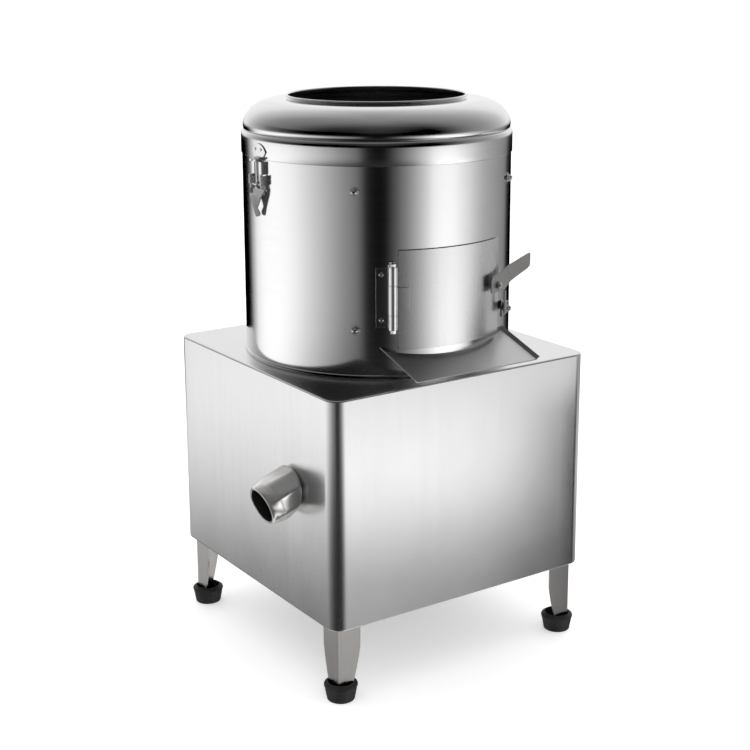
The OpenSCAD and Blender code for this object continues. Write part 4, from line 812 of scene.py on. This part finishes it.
def make_finishes():
    return {
        "cabinet": steel("cabinet_steel", tone=0.78, rough=0.25, grain="z", grain_scale=700.0,
                         grain_depth=0.0, smudge=0.03, uneven=0.0, metallic=0.98),
        "drum": steel("drum_steel", tone=0.8, rough=0.13, grain=GRAIN_ROUND, grain_scale=800.0,
                      grain_depth=0.03, smudge=0.03),
        "dome": steel("dome_steel", tone=0.78, rough=0.14, grain=GRAIN_ROUND, grain_depth=0.03,
                      smudge=0.04),
        "door": steel("door_steel", tone=0.84, rough=0.26, grain="z", grain_depth=0.012, smudge=0.03,
                      uneven=0.08),
        "toggle": steel("toggle_steel", tone=0.85, rough=0.36, grain="z", grain_scale=700.0,
                        grain_depth=0.06, metallic=0.85),
        "chute": steel("chute_steel", tone=0.8, rough=0.34, grain="y", uneven=0.1),
        "leg": steel("leg_steel", tone=0.48, rough=0.3, grain="z", grain_scale=600.0, grain_depth=0.1,
                     smudge=0.08, warm=0.03),
        "bright": steel("bright_steel", tone=0.82, rough=0.14, grain="z", grain_scale=1500.0,
                        grain_depth=0.04),
        "pressed": steel("pressed_steel", tone=0.78, rough=0.18, grain="z", grain_scale=1200.0,
                         grain_depth=0.06, smudge=0.06),
        "pan": steel("pan_steel", tone=0.7, rough=0.3, grain=GRAIN_ROUND, grain_scale=600.0,
                     grain_depth=0.08, smudge=0.1),
        "union": steel("union_steel", tone=0.96, rough=0.22, grain_scale=500.0, grain_depth=0.1,
                       warm=0.015, metallic=0.9),
        # Near-black painted shade for the union's bore, which is dark only because it lies in shadow
        "bore": paint("bore_painted_shade", (0.02, 0.019, 0.018), rough=0.5, chips=0.3, metallic=0.4),
        "forged": steel("forged_steel", tone=0.5, rough=0.34, grain_scale=500.0, grain_depth=0.12,
                        smudge=0.1, warm=0.015),
        "frame": paint("frame_paint", (0.1, 0.105, 0.115)),
        "motor": paint("motor_paint", (0.07, 0.1, 0.16)),
        "casting": paint("casting_paint", (0.06, 0.06, 0.065), rough=0.5, chips=0.2, metallic=0.3),
        "disc": steel("disc_casting", tone=0.55, rough=0.45, grain=GRAIN_ROUND, grain_scale=300.0,
                      grain_depth=0.25, smudge=0.1),
        "rubber": rubber("black_rubber"),
        "grit": grit("abrasive_grit"),
        "switch": plastic("switch_plastic", (0.02, 0.02, 0.022)),
        "green": plastic("green_plastic", (0.02, 0.28, 0.06), rough=0.25),
        "red": plastic("red_plastic", (0.5, 0.015, 0.012), rough=0.25),
    }


NODE_FINISH = {
    "cabinet": ("housing_shell", "housing_top"),
    "drum": ("drum_shell",),
    "dome": ("lid_skirt", "lid_dome"),
    "door": ("door_panel",),
    "chute": ("discharge_chute",),
    "leg": ("post_front_left", "post_front_right", "post_rear_left", "post_rear_right"),
    "bright": ("liner_cap_nuts", "liner_screws", "hub_nut", "drive_shaft", "bearing_bolts",
               "shaft_bearings", "motor_shaft", "hinge_pin", "latch_pivot_bolt", "water_inlet"),
    "pressed": ("latch_keepers", "latch_bases", "left_latch_lever", "right_latch_lever", "left_latch_hook",
                "right_latch_hook", "door_hinge_leaf", "drum_hinge_leaf"),
    "forged": ("door_latch_lever", "door_keeper"),
    "pan": ("waste_pan", "drain_elbow"),
    "union": ("drain_outlet",),
    "frame": ("lower_frame", "upper_frame", "bearing_bridge", "motor_bracket"),
    "motor": ("motor_body", "motor_fan_cover", "motor_terminal_box"),
    "casting": ("bearing_housing", "driven_pulley", "motor_pulley"),
    "disc": ("turntable_disc",),
    "rubber": ("foot_front_left", "foot_front_right", "foot_rear_left", "foot_rear_right", "shaft_seal",
               "drive_belt", "lid_gasket", "door_seal"),
    "grit": ("abrasive_liner", "abrasive_pad"),
    "switch": ("switch_box", "cable_gland"),
    "green": ("start_button",),
    "red": ("stop_button",),
}


def dress_nodes(finishes):
    for finish, names in NODE_FINISH.items():
        for name in names:
            piece = nodes[name]
            piece.data.materials.clear()
            piece.data.materials.append(finishes[finish])


# ---- Studio ----

# Brightness of the studio round the object at the height of the walls' reflections, by angle from
# the camera: left is negative. The white backdrop stands behind the object, between two dark flags.
STUDIO_ROUND = [
    (-180, 1.0), (-172, 1.0), (-167, 0.02), (-145, 0.03), (-137, 0.35), (-130, 0.8), (-120, 1.35),
    (-100, 1.55), (-86, 1.5), (-74, 1.35), (-63, 1.12), (-54, 0.93), (-45, 0.74), (-36, 0.56),
    (-27, 0.4), (-18, 0.27), (-12, 0.12), (-7, 0.02), (6, 0.01), (11, 0.06), (17, 0.16), (25, 0.36),
    (34, 0.66), (43, 1.06), (53, 1.48), (62, 1.55), (72, 1.38), (83, 1.1), (95, 0.76), (109, 0.54),
    (125, 0.42), (140, 0.3), (150, 0.05), (167, 0.02), (172, 1.0), (180, 1.0),
]
# What those are multiplied by, from straight down to straight up
STUDIO_LOW = [
    (-90, 0.8), (-60, 0.75), (-48, 0.6), (-38, 0.3), (-32, 0.18), (-28, 0.22), (-25, 0.46),
    (-22, 0.78), (-19, 1.0), (-16, 1.06), (-12, 1.0), (90, 1.0),
]
# Brightness round the object at the height of the cabinet's reflections, and its share by height
STUDIO_FOOT_ROUND = [
    (-180, 0.85), (-140, 0.9), (-122, 1.15), (-100, 1.2), (-86, 1.0), (-70, 0.6), (-52, 0.3),
    (-36, 0.12), (-20, 0.05), (10, 0.05), (24, 0.12), (36, 0.5), (48, 1.2), (58, 1.8), (70, 1.95),
    (86, 1.5), (110, 0.9), (180, 0.85),
]
FOOT_SHARE = [(-90, 1.0), (-18, 1.0), (-14, 0.0), (90, 0.0)]
# Share of the upper studio, by height
STUDIO_SHARE = [(-90, 0.0), (-7, 0.0), (0, 1.0), (90, 1.0)]
# Upper studio: by the cosine of the angle away from the camera's own side
STUDIO_AWAY = [
    (-1.0, 1.2), (-0.86, 1.1), (-0.7, 0.78), (-0.6, 0.66), (-0.4, 0.5), (-0.26, 0.42), (0.0, 0.34),
    (0.2, 0.26), (0.4, 0.16), (0.6, 0.08), (1.0, 0.03),
]
# Dark band above the horizon, and how far round it reaches
STUDIO_BAND = [(-90, 0.9), (-3, 0.9), (8, 1.0), (16, 0.8), (28, 0.0), (90, 0.0)]
BAND_ROUND = [
    (-180, 0.0), (-135, 0.0), (-100, 0.45), (-72, 0.72), (-45, 0.85), (0, 0.85), (30, 0.8),
    (50, 0.45), (66, 0.1), (90, 0.0), (180, 0.0),
]
# The white backdrop in reflections: from this angle round, and its share by height
BACKDROP_FROM = 172.0
BACKDROP_HEIGHT = [(-90, 1.0), (20, 1.0), (46, 0.0), (90, 0.0)]


def make_world():
    """Studio of soft panels with a dark gap towards the camera; the camera itself sees white."""
    world = bpy.data.worlds.new("studio")
    bpy.context.scene.world = world
    world.use_nodes = True
    studio = NodeTree(world.node_tree)
    direction = studio.add("ShaderNodeTexCoord").outputs["Generated"]
    to_camera = math.atan2(CAMERA_AT.y, CAMERA_AT.x)
    turned = studio.add(
        "ShaderNodeVectorRotate", {"Angle": -to_camera}, {"Vector": direction}, rotation_type="Z_AXIS"
    )
    x, y, z = studio.add("ShaderNodeSeparateXYZ", links={0: turned.outputs[0]}).outputs
    round_angle = studio.math("DEGREES", studio.math("ARCTAN2", y, x))
    up_angle = studio.math("DEGREES", studio.math("ARCSINE", z))

    def by_round(stops):
        return studio.curve(round_angle, stops, -180, 180)

    def by_height(stops):
        return studio.curve(up_angle, stops, -90, 90)

    around = studio.mixed(by_round(STUDIO_ROUND), by_round(STUDIO_FOOT_ROUND), by_height(FOOT_SHARE))
    lower = studio.math("MULTIPLY", around, by_height(STUDIO_LOW))
    band = studio.math("MULTIPLY", by_round(BAND_ROUND), by_height(STUDIO_BAND))
    away = studio.curve(x, STUDIO_AWAY, -1, 1)
    upper = studio.math("MULTIPLY", away, studio.math("SUBTRACT", 1.0, band))
    level = studio.mixed(lower, upper, by_height(STUDIO_SHARE))
    panels = studio.add("ShaderNodeBackground", links={"Strength": level})
    white = studio.add("ShaderNodeBackground", {"Color": (1, 1, 1, 1), "Strength": 1.0})
    ray = studio.add("ShaderNodeLightPath").outputs
    mirrored = studio.math("MAXIMUM", ray["Is Glossy Ray"], ray["Is Transmission Ray"])
    at_back = studio.math("GREATER_THAN", studio.math("ABSOLUTE", round_angle), BACKDROP_FROM)
    behind = studio.math("MULTIPLY", at_back, by_height(BACKDROP_HEIGHT))
    seen = studio.math("MAXIMUM", ray["Is Camera Ray"], studio.math("MULTIPLY", mirrored, behind))
    mix = studio.add("ShaderNodeMixShader", links={"Fac": seen, 1: panels.outputs[0], 2: white.outputs[0]})
    studio.add("ShaderNodeOutputWorld", links={"Surface": mix.outputs[0]})


FLOOR_R = 9.0
FLOOR_GLOW = 0.42


def make_floor():
    """Matt white paper. For the camera a glow is added, so it stays white round the shadow."""
    bm = bmesh.new()
    bmesh.ops.create_circle(bm, cap_ends=True, segments=96, radius=FLOOR_R)
    sheet = Material("floor_paper")
    fibre = sheet.noise(sheet.place(), scale=60.0, detail=3.0)
    tone = sheet.ramp(fibre, [(NOISE_LOW, grey(0.9)), (NOISE_HIGH, grey(0.93))])
    paper = sheet.add("ShaderNodeBsdfDiffuse", links={"Color": tone}).outputs[0]
    glow = sheet.add("ShaderNodeEmission", {"Strength": FLOOR_GLOW}).outputs[0]
    lit = sheet.add("ShaderNodeAddShader", links={0: paper, 1: glow}).outputs[0]
    to_eye = sheet.add("ShaderNodeLightPath").outputs["Is Camera Ray"]
    seen = sheet.add("ShaderNodeMixShader", links={0: to_eye, 1: paper, 2: lit})
    floor = linked_object("floor", bm)
    floor.data.materials.append(sheet.finished(seen))
    floor.visible_glossy = False


FLAG_X0, FLAG_X1 = 0.86, 2.4
FLAG_Y = -1.08
FLAG_LOW, FLAG_TOP = -1.2, 0.15


def make_flag():
    """Dark card low on the right, seen only in reflections: it darkens the front wall's far side."""
    bm = bmesh.new()
    corners = ((FLAG_X0, FLAG_LOW), (FLAG_X1, FLAG_LOW), (FLAG_X1, FLAG_TOP), (FLAG_X0, FLAG_TOP))
    bm.faces.new([bm.verts.new((x, FLAG_Y, z)) for x, z in corners])
    cloth = Material("flag_cloth")
    weave = cloth.noise(cloth.place(), scale=90.0, detail=2.0)
    tone = cloth.ramp(weave, [(NOISE_LOW, grey(0.01)), (NOISE_HIGH, grey(0.02))])
    felt = cloth.add("ShaderNodeBsdfDiffuse", links={"Color": tone})
    flag = linked_object("flag", bm)
    flag.data.materials.append(cloth.finished(felt))
    flag.visible_camera = False
    flag.visible_diffuse = False
    flag.visible_shadow = False


SKY_POWER, SKY_SPREAD = 2.2, 150
FILL_AT, FILL_AIM = Vector((-1.6, -3.2, 1.6)), Vector((0, 0, 0.4))
FILL_SIZE, FILL_POWER = 1.6, 25.0


def place_light(name, data):
    light = bpy.data.objects.new(name, data)
    light.visible_glossy = False
    bpy.context.scene.collection.objects.link(light)
    return light


def make_lights():
    """A wide soft light from above and a panel from the front, neither seen in reflections."""
    sky = bpy.data.lights.new("overhead_softbox", "SUN")
    sky.energy = SKY_POWER
    sky.angle = math.radians(SKY_SPREAD)
    place_light("overhead_softbox", sky)
    fill = bpy.data.lights.new("front_fill", "AREA")
    fill.shape = "RECTANGLE"
    fill.size = FILL_SIZE
    fill.size_y = FILL_SIZE
    fill.energy = FILL_POWER
    panel = place_light("front_fill", fill)
    panel.location = FILL_AT
    panel.rotation_euler = (FILL_AIM - FILL_AT).to_track_quat("-Z", "Y").to_euler()
    panel.visible_camera = False


def main():
    bpy.context.scene.view_settings.view_transform = "Standard"
    make_camera()
    finishes = make_finishes()
    dress_nodes(finishes)
    cabinet_skin(finishes["cabinet"])
    drum_wall(finishes["drum"])
    lid_skirt(finishes["dome"])
    lid_dome(finishes["dome"])
    door_panel(finishes["door"])
    drain_outlet(finishes["union"], finishes["bore"])
    for side in ("left", "right"):
        leaning_lever(side + "_toggle_lever", side + "_latch_lever", side + "_latch", finishes["toggle"])
    for place in ("front_left", "front_right", "rear_left", "rear_right"):
        rubber_foot("boot_" + place, "foot_" + place, finishes["rubber"])
    make_floor()
    make_flag()
    make_world()
    make_lights()


main()
